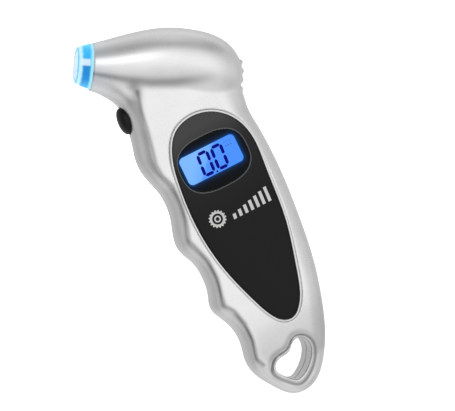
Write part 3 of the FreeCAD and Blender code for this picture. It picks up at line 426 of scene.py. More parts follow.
def sample_maps(x, z):
    """Maps at any points, by smooth cubic interpolation."""
    u = np.clip((x - GRID_X[0]) / STEP, 1, len(GRID_X) - 3)
    v = np.clip((z - GRID_Z[0]) / STEP, 1, len(GRID_Z) - 3)
    i = u.astype(int)
    j = v.astype(int)

    def weights(f):
        return [
            ((2 - f) * f - 1) * f / 2,
            ((3 * f - 5) * f * f + 2) / 2,
            ((4 - 3 * f) * f + 1) * f / 2,
            (f - 1) * f * f / 2,
        ]

    wu = weights(u - i)
    wv = weights(v - j)
    total = np.zeros(x.shape + (MAPS.shape[-1],))
    for a in range(4):
        for b in range(4):
            total += (wu[a] * wv[b])[..., None] * MAPS[i + a - 1, j + b - 1]
    return total


# ---- the two shells as one field ----
DEEPEST = 16.0            # reach of the grid in Y, and how far it passes the seam
SEAM_ROOM = 1.5
DOOR_X = (53.0, 97.0)     # box of the door's grid
DOOR_Y = (7.6, 12.0)
DOOR_Z = (-98.0, -48.0)


def skin_field(y, maps):
    """About the distance outside the body's skin."""
    return (y * y - maps[..., 0]) / np.sqrt(4 * y * y + maps[..., 1] ** 2 + 0.5)


def shell_field(x, y, z, maps, side):
    """Signed field of one shell, negative in the wall. side is -1 in front and 1 behind."""
    outer = skin_field(y, maps)
    for ridge_x, ridge_z in THUMB_RIDGES:
        reach = np.maximum(np.abs(y) - RIDGE_HALF + RIDGE_TAPER * abs(ridge_z), 0)
        ridge = np.sqrt((x - ridge_x) ** 2 + (z - ridge_z) ** 2 + reach ** 2) - RIDGE_R
        outer = soft_min(outer, ridge, RIDGE_EDGE)
    s, t = st_of(x, z)
    hollow = soft_max(outer + WALL, s - HOLLOW_END, HOLLOW_EDGE)
    hollow = soft_max(hollow, HOLLOW_START_X - x, HOLLOW_EDGE)
    wall = soft_max(outer, -hollow, EDGE)
    wells = np.full(x.shape, FAR)
    for screw_s, screw_t in SHELL_SCREWS:
        ring = np.hypot(s - screw_s, t - screw_t)
        wall = np.minimum(wall, np.maximum(ring - BOSS_R, outer))
        wells = np.minimum(wells, ring - WELL_R)
    wall = soft_max(wall, PART_GAP - side * y, PART_EDGE)
    wall = soft_max(wall, NOSE_LENGTH - x, EDGE)
    spigot = np.maximum(np.hypot(y, z) - SPIGOT_R, x - SPIGOT_END)
    wall = soft_max(wall, -spigot, EDGE)
    wall = soft_max(wall, -maps[..., 2], HOLE_EDGE)
    beside = x - BUTTON_CENTRE[0]
    above = z - BUTTON_CENTRE[1]
    out = -beside * math.cos(BUTTON_TILT) - above * math.sin(BUTTON_TILT)
    across = beside * math.sin(BUTTON_TILT) - above * math.cos(BUTTON_TILT)
    button = np.maximum(np.hypot(across, y) - BUTTON_R - BUTTON_GAP, -BUTTON_WELL - out)
    wall = soft_max(wall, -button, BUTTON_EDGE)
    if side < 0:
        closed = between(s, *LIP_CLOSING_S) * (1 - between(t, *LIP_CLOSING_T))
        seat = np.maximum(maps[..., 3] - LIP_GAP + LIP_CLOSING * closed, y + PANEL_FLOOR)
        wall = soft_max(wall, -seat, SEAT_EDGE)
        view = rounded_box(s - LCD_CENTRE[0], t - LCD_CENTRE[1], *VIEW_HALF, VIEW_CORNER)
        wall = soft_max(wall, -np.maximum(view, y + VIEW_FLOOR), SEAT_EDGE)
    else:
        wall = soft_max(wall, -np.maximum(wells, WELL_FLOOR - y), WELL_EDGE)
        door = rounded_box(s - DOOR_CENTRE[0], t - DOOR_CENTRE[1], *DOOR_HALF, DOOR_CORNER)
        wall = soft_max(wall, -np.maximum(door - DOOR_GAP, DOOR_FLOOR - DOOR_THICK - y), EDGE)
    return wall


def cells_round(cross, others):
    """The four cells that share each grid edge, one after another round it."""
    for du, dv in ((1, 1), (0, 1), (0, 0), (1, 0)):
        cell = cross.copy()
        cell[:, others[0]] -= du
        cell[:, others[1]] -= dv
        yield tuple(cell.T)


def surface_net(values, origin):
    """Vertices and quads of the zero surface of a field on a regular grid."""
    shape = tuple(n - 1 for n in values.shape)
    total = np.zeros(shape + (3,), np.float32)
    hits = np.zeros(shape, np.float32)
    edges = []
    for axis in range(3):
        low = np.take(values, range(values.shape[axis] - 1), axis)
        high = np.take(values, range(1, values.shape[axis]), axis)
        cross = np.argwhere((low < 0) != (high < 0))
        others = [k for k in range(3) if k != axis]
        for k in others:
            cross = cross[(cross[:, k] > 0) & (cross[:, k] < shape[k])]
        a = low[tuple(cross.T)]
        b = high[tuple(cross.T)]
        point = cross.astype(np.float32)
        point[:, axis] += a / (a - b)
        edges.append((axis, others, cross, a < 0))
        for cell in cells_round(cross, others):
            np.add.at(total, cell, point)
            np.add.at(hits, cell, 1)
    used = hits > 0
    number = np.full(shape, -1)
    number[used] = np.arange(used.sum())
    vertices = total[used] / hits[used][:, None] * STEP + np.array(origin)
    quads = []
    for axis, others, cross, low_inside in edges:
        quad = np.stack([number[cell] for cell in cells_round(cross, others)], 1)
        flip = low_inside if axis == 1 else ~low_inside
        quad[flip] = quad[flip][:, ::-1]
        quads.append(quad)
    return vertices, np.vstack(quads)


def relax_onto(field, vertices, quads, rounds):
    """Evens out the vertices and puts them back on the zero surface of the field."""
    pairs = np.vstack([quads[:, [k, (k + 1) % 4]] for k in range(4)])
    links = np.bincount(pairs.ravel(), minlength=len(vertices))[:, None]

    def project(p):
        reach = 0.04
        value = field(p)
        slope = np.stack([
            (field(p + reach * axis) - field(p - reach * axis)) / (2 * reach) for axis in np.eye(3)
        ], 1)
        size = np.maximum((slope ** 2).sum(1), 0.05)
        shift = slope * (value / size)[:, None]
        length = np.maximum(np.linalg.norm(shift, axis=1), 1e-9)[:, None]
        return p - shift * np.minimum(1, 0.4 * STEP / length)

    for _ in range(rounds):
        total = np.zeros_like(vertices)
        for k in range(3):
            total[:, k] = np.bincount(pairs[:, 0], vertices[pairs[:, 1], k], len(vertices))
            total[:, k] += np.bincount(pairs[:, 1], vertices[pairs[:, 0], k], len(vertices))
        vertices = vertices + 0.5 * (total / links - vertices)
        vertices = project(vertices)
    return project(project(vertices))


def shell_mesh(side):
    """Vertices and quads of one shell."""
    grid_y = np.arange(-DEEPEST, SEAM_ROOM, STEP) if side < 0 else np.arange(-SEAM_ROOM, DEEPEST, STEP)
    x, y, z = np.meshgrid(GRID_X, grid_y, GRID_Z, indexing="ij")
    maps = np.broadcast_to(MAPS[:, None], (len(GRID_X), len(grid_y)) + MAPS.shape[1:])
    values = shell_field(x, y, z, maps, side)
    vertices, quads = surface_net(values, (GRID_X[0], grid_y[0], GRID_Z[0]))

    def field(p):
        return shell_field(p[:, 0], p[:, 1], p[:, 2], sample_maps(p[:, 0], p[:, 2]), side)

    return relax_onto(field, vertices, quads, 3), quads


def door_field(x, y, z, maps):
    """Signed field of the battery door's skin, with its screw seat and grip lines."""
    s, t = st_of(x, z)
    edge = rounded_box(s - DOOR_CENTRE[0], t - DOOR_CENTRE[1], *DOOR_HALF, DOOR_CORNER)
    door = soft_max(skin_field(y, maps), edge, DOOR_EDGE)
    door = np.maximum(door, DOOR_FLOOR - y)
    seat = np.hypot(s - DOOR_SCREW_S, t - DOOR_CENTRE[1])
    door = soft_max(door, -np.maximum(seat - SEAT_R, SEAT_FLOOR - y), EDGE)
    for line in range(GRIP_LINES):
        line_s = GRIP_LINE_S + line * GRIP_LINE_PITCH
        reach = np.maximum(np.abs(t - DOOR_CENTRE[1]) - GRIP_LINE_HALF + GRIP_LINE_LOSS * line, 0)
        groove = np.sqrt((s - line_s) ** 2 + (y - DOOR_TOP) ** 2 + reach ** 2) - GRIP_LINE_R
        door = soft_max(door, -groove, GRIP_LINE_EDGE)
    return door


def door_mesh():
    """Vertices and quads of the battery door."""
    xs = GRID_X[(GRID_X > DOOR_X[0]) & (GRID_X < DOOR_X[1])]
    zs = GRID_Z[(GRID_Z > DOOR_Z[0]) & (GRID_Z < DOOR_Z[1])]
    ys = np.arange(*DOOR_Y, STEP)
    x, y, z = np.meshgrid(xs, ys, zs, indexing="ij")

    def field(p):
        return door_field(p[:, 0], p[:, 1], p[:, 2], sample_maps(p[:, 0], p[:, 2]))

    points = np.stack([x.ravel(), y.ravel(), z.ravel()], 1)
    values = field(points).reshape(x.shape)
    vertices, quads = surface_net(values, (xs[0], ys[0], zs[0]))
    return relax_onto(field, vertices, quads, 3), quads


# ---- mesh helpers ----
def add_piece(name, vertices, faces, look, body, node=None, slot=None, crisp=None):
    """Smooth mesh that rides on a body and stands for a CAD node.

    crisp is the angle in degrees above which its edges stay sharp.
    """
    mesh = bpy.data.meshes.new(name)
    mesh.from_pydata((vertices * MM).tolist(), [], [list(face) for face in faces])
    work = bmesh.new()
    work.from_mesh(mesh)
    bmesh.ops.recalc_face_normals(work, faces=work.faces)
    work.to_mesh(mesh)
    work.free()
    mesh.shade_smooth()
    if crisp:
        mesh.set_sharp_from_angle(angle=math.radians(crisp))
    mesh.materials.append(LOOKS[look])
    piece = bpy.data.objects.new(name, mesh)
    bpy.context.scene.collection.objects.link(piece)
    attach(piece, body)
    if node:
        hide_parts(node)
    return piece


def set_attribute(piece, name, values):
    """One number per vertex, for the piece's material."""
    attribute = piece.data.attributes.new(name, "FLOAT", "POINT")
    attribute.data.foreach_set("value", values.astype(np.float32))


def sweep(loops, closed_section=False, cap_last=False):
    """Quads between loops of the same length, one after another."""
    count = len(loops[0])
    faces = []
    rings = len(loops)
    for r in range(rings if closed_section else rings - 1):
        a = r * count
        b = (r + 1) % rings * count
        for i in range(count):
            j = (i + 1) % count
            faces.append([a + i, a + j, b + j, b + i])
    if cap_last:
        faces.append([(rings - 1) * count + i for i in range(count)])
    return np.vstack(loops), faces


def lathe(profile, origin, axis, segments=96, cap_ends=(True, True)):
    """Surface turned about an axis; profile holds (distance along it, radius)."""
    axis = Vector(axis).normalized()
    side = axis.orthogonal().normalized()
    turns = 2 * math.pi * np.arange(segments)[:, None] / segments
    circle = np.cos(turns) * np.array(side) + np.sin(turns) * np.array(axis.cross(side))
    vertices, faces = sweep([
        np.array(origin) + np.array(axis) * along + circle * radius for along, radius in profile
    ])
    if cap_ends[0]:
        faces.append(list(range(segments)))
    if cap_ends[1]:
        faces.append(list(range(len(vertices) - segments, len(vertices))))
    return vertices, faces


def join_meshes(parts):
    """One list of vertices and faces from several."""
    vertices = []
    faces = []
    start = 0
    for part_vertices, part_faces in parts:
        vertices.append(part_vertices)
        faces.extend([start + i for i in face] for face in part_faces)
        start += len(part_vertices)
    return np.vstack(vertices), faces


def at_depth(loop, y):
    """XZ loop set at a depth; y is a number or one per point."""
    return np.stack([loop[:, 0], np.broadcast_to(y, len(loop)), loop[:, 1]], 1)


# ---- materials ----
def new_look(name, plain):
    """Principled material; plain holds the sockets that are even all over."""
    look = bpy.data.materials.new("look_" + name)
    look.use_nodes = True
    for socket, value in plain.items():
        look.node_tree.nodes["Principled BSDF"].inputs[socket].default_value = value
    return look, look.node_tree


def finished(look, varied, relief=None, depth=0.0):
    """Material with values linked to its sockets, and with a relief of a depth in millimetres."""
    tree = look.node_tree
    shader = tree.nodes["Principled BSDF"]
    for socket, value in varied.items():
        tree.links.new(value, shader.inputs[socket])
    if relief:
        bump = tree.nodes.new("ShaderNodeBump")
        bump.inputs["Distance"].default_value = depth * MM
        bump.inputs["Strength"].default_value = 1.0
        tree.links.new(relief, bump.inputs["Height"])
        tree.links.new(bump.outputs["Normal"], shader.inputs["Normal"])
    return look


def place(tree):
    """Object coordinates, which are the CAD frame's, in metres."""
    return tree.nodes.new("ShaderNodeTexCoord").outputs["Object"]


def axis_of(tree, name):
    """One of the object coordinates."""
    axes = tree.nodes.new("ShaderNodeSeparateXYZ")
    tree.links.new(place(tree), axes.inputs["Vector"])
    return axes.outputs[name]


def attribute_of(tree, name):
    """Value of a mesh attribute."""
    node = tree.nodes.new("ShaderNodeAttribute")
    node.attribute_name = name
    return node.outputs["Fac"]


def noise_at(tree, size, detail=2.0):
    """Noise whose blobs are about this many millimetres."""
    noise = tree.nodes.new("ShaderNodeTexNoise")
    noise.inputs["Scale"].default_value = 1.0 / (size * MM)
    noise.inputs["Detail"].default_value = detail
    tree.links.new(place(tree), noise.inputs["Vector"])
    return noise.outputs["Fac"]


def remap(tree, value, low, high, to_low=0.0, to_high=1.0):
    """Value taken from one range to another, held at its ends."""
    node = tree.nodes.new("ShaderNodeMapRange")
    for socket, number in zip(("From Min", "From Max", "To Min", "To Max"), (low, high, to_low, to_high)):
        node.inputs[socket].default_value = number
    tree.links.new(value, node.inputs["Value"])
    return node.outputs["Result"]


def ramp(tree, value, stops):
    """Colour from a value through stops of (position, colour)."""
    node = tree.nodes.new("ShaderNodeValToRGB")
    elements = node.color_ramp.elements
    while len(elements) < len(stops):
        elements.new(0.5)
    for element, (position, colour) in zip(elements, stops):
        element.position = position
        element.color = (*colour, 1.0)
    tree.links.new(value, node.inputs["Fac"])
    return node.outputs["Color"]


def plateau(tree, value, low, full, fading, high):
    """1 where a value is between full and fading, falling to 0 at low and high."""
    black = (0, 0, 0)
    white = (1, 1, 1)
    return ramp(tree, value, [(low, black), (full, white), (fading, white), (high, black)])


def math_node(tree, operation, a, b=None):
    """Sum, product and the like of two values; b may be a number."""
    node = tree.nodes.new("ShaderNodeMath")
    node.operation = operation
    tree.links.new(a, node.inputs[0])
    if isinstance(b, (int, float)):
        node.inputs[1].default_value = b
    elif b is not None:
        tree.links.new(b, node.inputs[1])
    return node.outputs["Value"]


def weighted(tree, a, share_a, b, share_b):
    """Sum of two values, each times its share."""
    return math_node(tree, "ADD", math_node(tree, "MULTIPLY", a, share_a),
                     math_node(tree, "MULTIPLY", b, share_b))


def mixed_colour(tree, factor, first, second, blend="MIX"):
    """Blend of two colours; the second may be a plain one."""
    mix = tree.nodes.new("ShaderNodeMix")
    mix.data_type = "RGBA"
    mix.blend_type = blend
    tree.links.new(factor, mix.inputs["Factor"])
    tree.links.new(first, mix.inputs["A"])
    if isinstance(second, tuple):
        mix.inputs["B"].default_value = second
    else:
        tree.links.new(second, mix.inputs["B"])
    return mix.outputs["Result"]


def scaled(colour, factor):
    """Colour made lighter or darker."""
    return tuple(min(1.0, channel * factor) for channel in colour)


def grained(name, colour, rough, grain, depth, spread=0.12, patch=6.0, **plain):
    """Material with patches of colour and roughness over a fine grain."""
    look, tree = new_look(name, plain)
    fine = noise_at(tree, grain)
    both = weighted(tree, noise_at(tree, patch, 3.0), 0.6, fine, 0.4)
    stops = [(0.3, scaled(colour, 1 - spread)), (0.7, scaled(colour, 1 + spread))]
    return finished(look, {
        "Base Color": ramp(tree, both, stops),
        "Roughness": remap(tree, both, 0.3, 0.7, rough * 0.88, rough * 1.12),
    }, fine, depth)


def white_plastic():
    """White moulding, with a painted blue glow where it shows in the mouth, in place of light from the
    clear nose.
    """
    look = grained("white_plastic", (0.80, 0.82, 0.84), 0.45, 0.3, 0.006,
                   **{"Emission Color": (0.66, 0.90, 1.0, 1.0)})
    depth = axis_of(look.node_tree, "X")
    # Painted glow: blue emission that fades away from the mouth
    return finished(look, {
        "Emission Strength": remap(look.node_tree, depth, 1.5 * MM, 5.0 * MM, 0.42, 0.0),
    })


def silver_paint():
    """Satin silver paint: metal flake under a soft coat, with painted shade in its hollows and towards the
    tail, and a faint painted blue glow near the nose.
    """
    look, tree = new_look("silver_paint", {
        "Metallic": 0.8, "Coat Weight": 0.15, "Coat Roughness": 0.35,
        "Emission Color": (0.25, 0.62, 1.0, 1.0),
    })
    flake = noise_at(tree, 0.16)
    mixed = weighted(tree, flake, 0.5, noise_at(tree, 9.0, 3.0), 0.5)
    plain = ramp(tree, mixed, [(0.35, (0.72, 0.72, 0.725)), (0.65, (0.79, 0.79, 0.795))])
    return finished(look, {
        # Painted shade: the colour is mixed towards near-black by the shade attribute that the shells carry
        "Base Color": mixed_colour(tree, attribute_of(tree, "painted_shade"), plain, (0.06, 0.06, 0.062, 1.0)),
        "Roughness": remap(tree, mixed, 0.35, 0.65, 0.26, 0.32),
        # Painted glow: faint blue emission near the nose, in place of the nose's light falling on the paint
        "Emission Strength": remap(tree, axis_of(tree, "X"), NOSE_LENGTH * MM, 14.0 * MM, 0.06, 0.0),
    }, flake, 0.006)


def panel_black():
    """Satin black fascia with a painted sheen: its colour is a shade lighter towards its upper left."""
    look, tree = new_look("black_fascia", {"Specular IOR Level": 0.14})
    fine = noise_at(tree, 0.2)
    # Painted sheen: lighter colour towards the upper left, along a slanting line blurred by noise
    slant = weighted(tree, axis_of(tree, "Z"), 1.0, axis_of(tree, "X"), -0.7)
    slant = weighted(tree, slant, 1.0, noise_at(tree, 14.0), 6.0 * MM)
    return finished(look, {
        "Base Color": ramp(tree, remap(tree, slant, -88.0 * MM, -50.0 * MM), [
            (0.0, (0.0085, 0.0085, 0.009)), (0.25, (0.012, 0.012, 0.013)),
            (0.67, (0.019, 0.019, 0.020)), (1.0, (0.062, 0.062, 0.063)),
        ]),
        "Roughness": remap(tree, fine, 0.3, 0.7, 0.34, 0.42),
    }, fine, 0.004)


def window_black():
    """Deep gloss black with the display's light bleeding into its edge."""
    look, tree = new_look("window_black", {
        "Emission Color": (0.01, 0.22, 0.9, 1.0), "Specular IOR Level": 0.08,
    })
    cloud = noise_at(tree, 5.0)
    return finished(look, {
        "Base Color": ramp(tree, cloud, [(0.3, (0.0008, 0.0014, 0.0022)), (0.7, (0.0014, 0.0022, 0.0034))]),
        "Roughness": remap(tree, cloud, 0.3, 0.7, 0.10, 0.16),
        "Emission Strength": attribute_of(tree, "glow"),
    })


def display_face():
    """Backlit blue glass, paler on the left of a slanting line."""
    look, tree = new_look("display_face", {
        "Roughness": 0.25, "Emission Strength": 0.95, "Specular IOR Level": 0.3,
        "Base Color": (0.01, 0.03, 0.10, 1.0),
    })
    cells = noise_at(tree, 1.2)
    tone = weighted(tree, attribute_of(tree, "shade"), 1.0, cells, 0.08)
    return finished(look, {"Emission Color": ramp(tree, tone, [
        (0.0, (0.19, 0.47, 1.0)), (0.42, (0.13, 0.40, 1.0)),
        (0.50, (0.060, 0.29, 1.0)), (1.0, (0.045, 0.26, 1.0)),
    ])}, cells, 0.002)


def nose_plastic():
    """Clear nose lit blue from behind, paler at the mouth, with a painted highlight: a bright bar across it
    where a reflection of soft light would lie.
    """
    look, tree = new_look("clear_nose", {
        "Roughness": 0.12, "Specular IOR Level": 0.3, "Emission Strength": 0.95,
        "Base Color": (0.01, 0.05, 0.08, 1.0),
    })
    height = axis_of(tree, "Z")
    streaked = weighted(tree, axis_of(tree, "X"), 1.0, noise_at(tree, 1.6), 0.5 * MM)
    along = remap(tree, streaked, 0.0, 6.4 * MM)
    pale = ramp(tree, along, [
        (0.0, (0.42, 0.80, 1.0)), (0.04, (0.10, 0.45, 0.80)), (0.09, (0.30, 0.74, 0.98)),
        (0.16, (0.62, 0.90, 1.0)), (0.30, (0.50, 0.86, 1.0)), (0.76, (0.16, 0.66, 1.0)),
        (0.84, (0.42, 0.82, 1.0)), (1.0, (0.30, 0.76, 1.0)),
    ])
    deep = ramp(tree, remap(tree, height, -NOSE_R * MM, NOSE_R * MM), [
        (0.0, (0.08, 0.55, 0.95)), (0.2, (0.012, 0.26, 0.70)), (0.48, (0.008, 0.22, 0.62)),
        (0.66, (0.03, 0.46, 0.92)), (0.85, (0.05, 0.52, 0.95)), (1.0, (0.16, 0.68, 1.0)),
    ])
    body = mixed_colour(tree, plateau(tree, along, 0.24, 0.38, 0.70, 0.78), pale, deep)
    # Painted highlight: a pale bar across the nose's middle, mixed into its emission colour
    across = plateau(tree, remap(tree, height, -1.45 * MM, 3.55 * MM), 0.18, 0.30, 0.68, 0.80)
    bar = math_node(tree, "MULTIPLY", across, plateau(tree, along, 0.18, 0.24, 0.70, 0.78))
    lit = mixed_colour(tree, math_node(tree, "MULTIPLY", bar, 0.75), body, (0.85, 0.97, 1.0, 1.0))
    return finished(look, {"Emission Color": lit}, noise_at(tree, 2.5), 0.01)


METAL = {"Metallic": 1.0}
# Colour, roughness, size and depth of the grain, then what differs from the usual
GRAINED_LOOKS = {
    "black_rubber": ((0.004, 0.004, 0.0045), 0.42, 0.25, 0.008, {"Specular IOR Level": 0.22}),
    "black_plastic": ((0.022, 0.022, 0.024), 0.5, 0.3, 0.01, {}),
    "connector_rubber": ((0.10, 0.10, 0.11), 0.7, 0.3, 0.02, {}),
    "board_green": ((0.012, 0.085, 0.035), 0.35, 0.5, 0.01, {"patch": 2.0}),
    "chip_black": ((0.018, 0.018, 0.019), 0.4, 0.2, 0.008, {}),
    "steel": ((0.55, 0.56, 0.58), 0.32, 0.2, 0.008, METAL),
    "brass": ((0.78, 0.56, 0.24), 0.3, 0.25, 0.008, METAL),
    "seal_rubber": ((0.02, 0.02, 0.02), 0.65, 0.25, 0.02, {}),
    "hose_silicone": ((0.70, 0.68, 0.62), 0.45, 0.6, 0.02, {"Subsurface Weight": 0.2}),
    "lamp_plastic": ((0.65, 0.82, 0.95), 0.12, 0.8, 0.004, {"Transmission Weight": 0.5}),
    "wire_red": ((0.45, 0.02, 0.015), 0.42, 0.3, 0.01, {}),
    "wire_blue": ((0.02, 0.05, 0.35), 0.42, 0.3, 0.01, {}),
    "contact_nickel": ((0.66, 0.62, 0.55), 0.28, 0.3, 0.008, METAL),
    "cell_steel": ((0.70, 0.70, 0.69), 0.22, 0.25, 0.006, METAL),
    "segment_ink": ((0.002, 0.002, 0.07), 0.5, 0.4, 0.002, {
        "Emission Color": (0.0, 0.0, 0.30, 1.0), "Emission Strength": 0.5, "Specular IOR Level": 0.05,
    }),
    "faint_ink": ((0.02, 0.05, 0.25), 0.3, 0.4, 0.002, {
        "Emission Color": (0.02, 0.10, 0.55, 1.0), "Emission Strength": 0.8,
    }),
    # Window's bevel: a lighter grey than the fascia, which partly paints a highlight line
    "bezel": ((0.13, 0.13, 0.135), 0.3, 0.2, 0.004, {"Metallic": 0.7}),
    "silver_ink": ((0.60, 0.60, 0.59), 0.42, 0.2, 0.006, {"Metallic": 0.4}),
}
LOOKS = {
    "silver_paint": silver_paint(),
    "black_fascia": panel_black(),
    "window_black": window_black(),
    "clear_nose": nose_plastic(),
    "display_glass": display_face(),
    "white_plastic": white_plastic(),
}
for label, (*numbers, sockets) in GRAINED_LOOKS.items():
    LOOKS[label] = grained(label, *numbers, **sockets)

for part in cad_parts.values():
    for held in part.material_slots:
        held.material = LOOKS[held.material.name]


# ---- shells ----
PANEL_LOOP = closed_spline(PANEL_OUTLINE, 360)


def panel_lip():
    """Thin raised ring round the panel, part of the front shell."""
    profile = [(0.06, -9.5), (0.06, -10.45), (0.12, -10.60), (0.26, -10.70), (0.48, -10.72),
               (0.68, -10.66), (0.80, -10.52), (LIP_WIDTH, -10.35), (LIP_WIDTH, -9.5)]
    outward = outward_normals(PANEL_LOOP)
    return sweep([at_depth(PANEL_LOOP + outward * out, y) for out, y in profile])


def set_painted_shade(piece):
    """Attribute of painted shade, which darkens the paint's colour where it lies in a hollow and towards
    the tail.
    """
    points = np.empty(len(piece.data.vertices) * 3)
    piece.data.vertices.foreach_get("co", points)
    points = points.reshape(-1, 3) / MM
    painted_shade = sample_maps(points[:, 0], points[:, 2])[:, 4]
    painted_shade[np.abs(points[:, 1]) < 1.0] = 0
    set_attribute(piece, "painted_shade", painted_shade)


def add_shells():
    """Both painted halves of the body and the battery door's skin."""
    paint = "silver_paint"
    front = join_meshes([shell_mesh(-1), panel_lip()])
    set_painted_shade(add_piece("body_front", *front, paint, "housing", "front_shell", paint))
    set_painted_shade(add_piece("body_rear", *shell_mesh(1), paint, "housing", "rear_shell", paint))
    add_piece("door_skin", *door_mesh(), paint, "battery_door", "battery_door", paint)


add_shells()


# ---- display panel ----
WINDOW_HALF = (10.1, 13.5)
WINDOW_POWER = 2.7        # 2 would make it an oval; more squares its corners
GLASS_Y = -10.25
GLASS_BACK = -9.5
GLASS_DISH = 0.35         # how far its outer edge stands in front of the middle
LCD_HALF = (5.5, 11.5)
LCD_ROUND = 1.8
LCD_BACK = -8.3
GLOW = 0.20               # light in the window's edge, and how far it reaches
GLOW_REACH = 0.65
SHADE_S = 59.0            # foot of the leaning line across the display where its shade changes
SHADE_T = 22.5
SHADE_LEAN = 0.9
SHADE_MIDDLE = 0.46
SHADE_WIDTH = 14.0
CROWN_WIDTH = 13.0        # distance from the panel's edge to the top of its crown
EDGE_RISE = 0.3           # rolled edge of the panel
EDGE_WIDTH = 0.25
LOOP_COUNT = 240
DENSE_COUNT = 720
DISPLAY_CENTRE = np.array(xz_of(*LCD_CENTRE))


def by_direction(x, z):
    """Loop resampled at equal angles round the display's centre, clockwise from the front."""
    dense = resample(np.stack([x, z], 1), 6 * LOOP_COUNT) - DISPLAY_CENTRE
    angle = np.arctan2(dense[:, 1], dense[:, 0])
    order = np.argsort(angle)
    wanted = -np.linspace(-math.pi, math.pi, LOOP_COUNT, endpoint=False)
    reach = np.interp(wanted, angle[order], np.hypot(*dense[order].T), period=2 * math.pi)
    return DISPLAY_CENTRE + np.stack([reach * np.cos(wanted), reach * np.sin(wanted)], 1)


def window_loop(grow):
    """Soft-cornered window outline in XZ."""
    turns = np.linspace(0, 2 * math.pi, DENSE_COUNT, endpoint=False)
    bend = 2 / WINDOW_POWER
    ds = (WINDOW_HALF[0] + grow) * np.sign(np.cos(turns)) * np.abs(np.cos(turns)) ** bend
    dt = (WINDOW_HALF[1] + grow) * np.sign(np.sin(turns)) * np.abs(np.sin(turns)) ** bend
    return by_direction(*xz_of(WINDOW_CENTRE[0] + ds, WINDOW_CENTRE[1] + dt))


def display_loop(grow):
    """Round-cornered outline of the lit display."""
    turns = np.linspace(0, 2 * math.pi, DENSE_COUNT, endpoint=False)
    corner = LCD_ROUND + grow
    ds = np.copysign(LCD_HALF[0] - LCD_ROUND, np.cos(turns)) + corner * np.cos(turns)
    dt = np.copysign(LCD_HALF[1] - LCD_ROUND, np.sin(turns)) + corner * np.sin(turns)
    return by_direction(*xz_of(LCD_CENTRE[0] + ds, LCD_CENTRE[1] + dt))


def panel_y(x, z):
    """Front surface of the crowned panel."""
    inside = np.maximum(distance_inside(PANEL_LOOP, x, z), 0)
    crown = PANEL_CROWN * (1 - (1 - np.minimum(inside / CROWN_WIDTH, 1)) ** 2)
    edge = EDGE_RISE * (1 - np.exp(-inside / EDGE_WIDTH))
    return -(PANEL_EDGE + edge + crown)


def on_panel(loop, sunk=0.0):
    """Loop laid on the panel, or a little into it."""
    return at_depth(loop, panel_y(loop[:, 0], loop[:, 1]) + sunk)


def add_panel():
    """Black fascia: rolled outer edge, crowned face and a turned-in lip round the window."""
    outer = by_direction(*closed_spline(PANEL_OUTLINE, 6 * LOOP_COUNT).T)
    inner = window_loop(0.55)
    loops = [at_depth(outer, -PANEL_FLOOR)]
    for share in (0.0, 0.012, 0.03, 0.06, 0.12, 0.2, 0.3, 0.42, 0.55, 0.68, 0.8, 0.9, 0.96, 1.0):
        loops.append(on_panel(outer * (1 - share) + inner * share))
    for grow, sunk in ((0.42, -0.04), (0.34, 0.0)):
        loops.append(on_panel(window_loop(grow), sunk))
    loops.append(at_depth(window_loop(0.34), -PANEL_FLOOR))
    vertices, faces = sweep(loops, closed_section=True)
    add_piece("panel_fascia", vertices, faces, "black_fascia", "housing", "display_panel",
              "black_fascia", crisp=50)


def add_bezel():
    """Thin bright bevel that runs down from the fascia to the window; its lighter grey partly paints a
    highlight line round the window.
    """
    bevel = [
        (0.40, -0.05), (0.32, -0.08), (0.20, -0.02), (0.08, 0.12), (0.0, 0.30), (0.0, 0.9), (0.30, 0.9),
    ]
    vertices, faces = sweep([on_panel(window_loop(grow), sunk) for grow, sunk in bevel])
    add_piece("window_bezel", vertices, faces, "bezel", "housing", slot="black_fascia")


def add_window():
    """Gloss window round the display; its glow attribute fades away from the lit edge."""
    near = display_loop(0.02)
    far = window_loop(-0.05)
    loops = [at_depth(near, GLASS_BACK)]
    for share in (0.0, 0.06, 0.12, 0.2, 0.32, 0.5, 0.7, 0.85, 0.95, 1.0):
        loops.append(at_depth(near * (1 - share) + far * share, GLASS_Y - GLASS_DISH * share ** 2))
    loops.append(at_depth(far, GLASS_BACK))
    vertices, faces = sweep(loops, closed_section=True)
    window = add_piece("window_surround", vertices, faces, "window_black", "housing", "window_lens",
                       "window_black", crisp=50)
    gap = -distance_inside(display_loop(0.0), vertices[:, 0], vertices[:, 2])
    set_attribute(window, "glow", GLOW * np.exp(-np.maximum(gap, 0) / GLOW_REACH))


def add_display():
    """Lit display face, gridded so that its shade attribute can vary."""
    rim = display_loop(0.0)
    loops = [at_depth(rim, LCD_BACK)]
    for share in (1.0, 0.985, 0.95, 0.88, 0.78, 0.66, 0.54, 0.42, 0.3, 0.18, 0.08):
        sunk = 0.12 if share == 1.0 else 0.06
        loops.append(at_depth(DISPLAY_CENTRE + (rim - DISPLAY_CENTRE) * share, GLASS_Y + sunk))
    vertices, faces = sweep(loops, cap_last=True)
    face = add_piece("display_face", vertices, faces, "display_glass", "housing", "lcd_cell",
                     "display_glass")
    s, t = st_of(vertices[:, 0], vertices[:, 2])
    past = t - SHADE_T - (SHADE_S - s) * SHADE_LEAN
    set_attribute(face, "shade", SHADE_MIDDLE + past / SHADE_WIDTH)


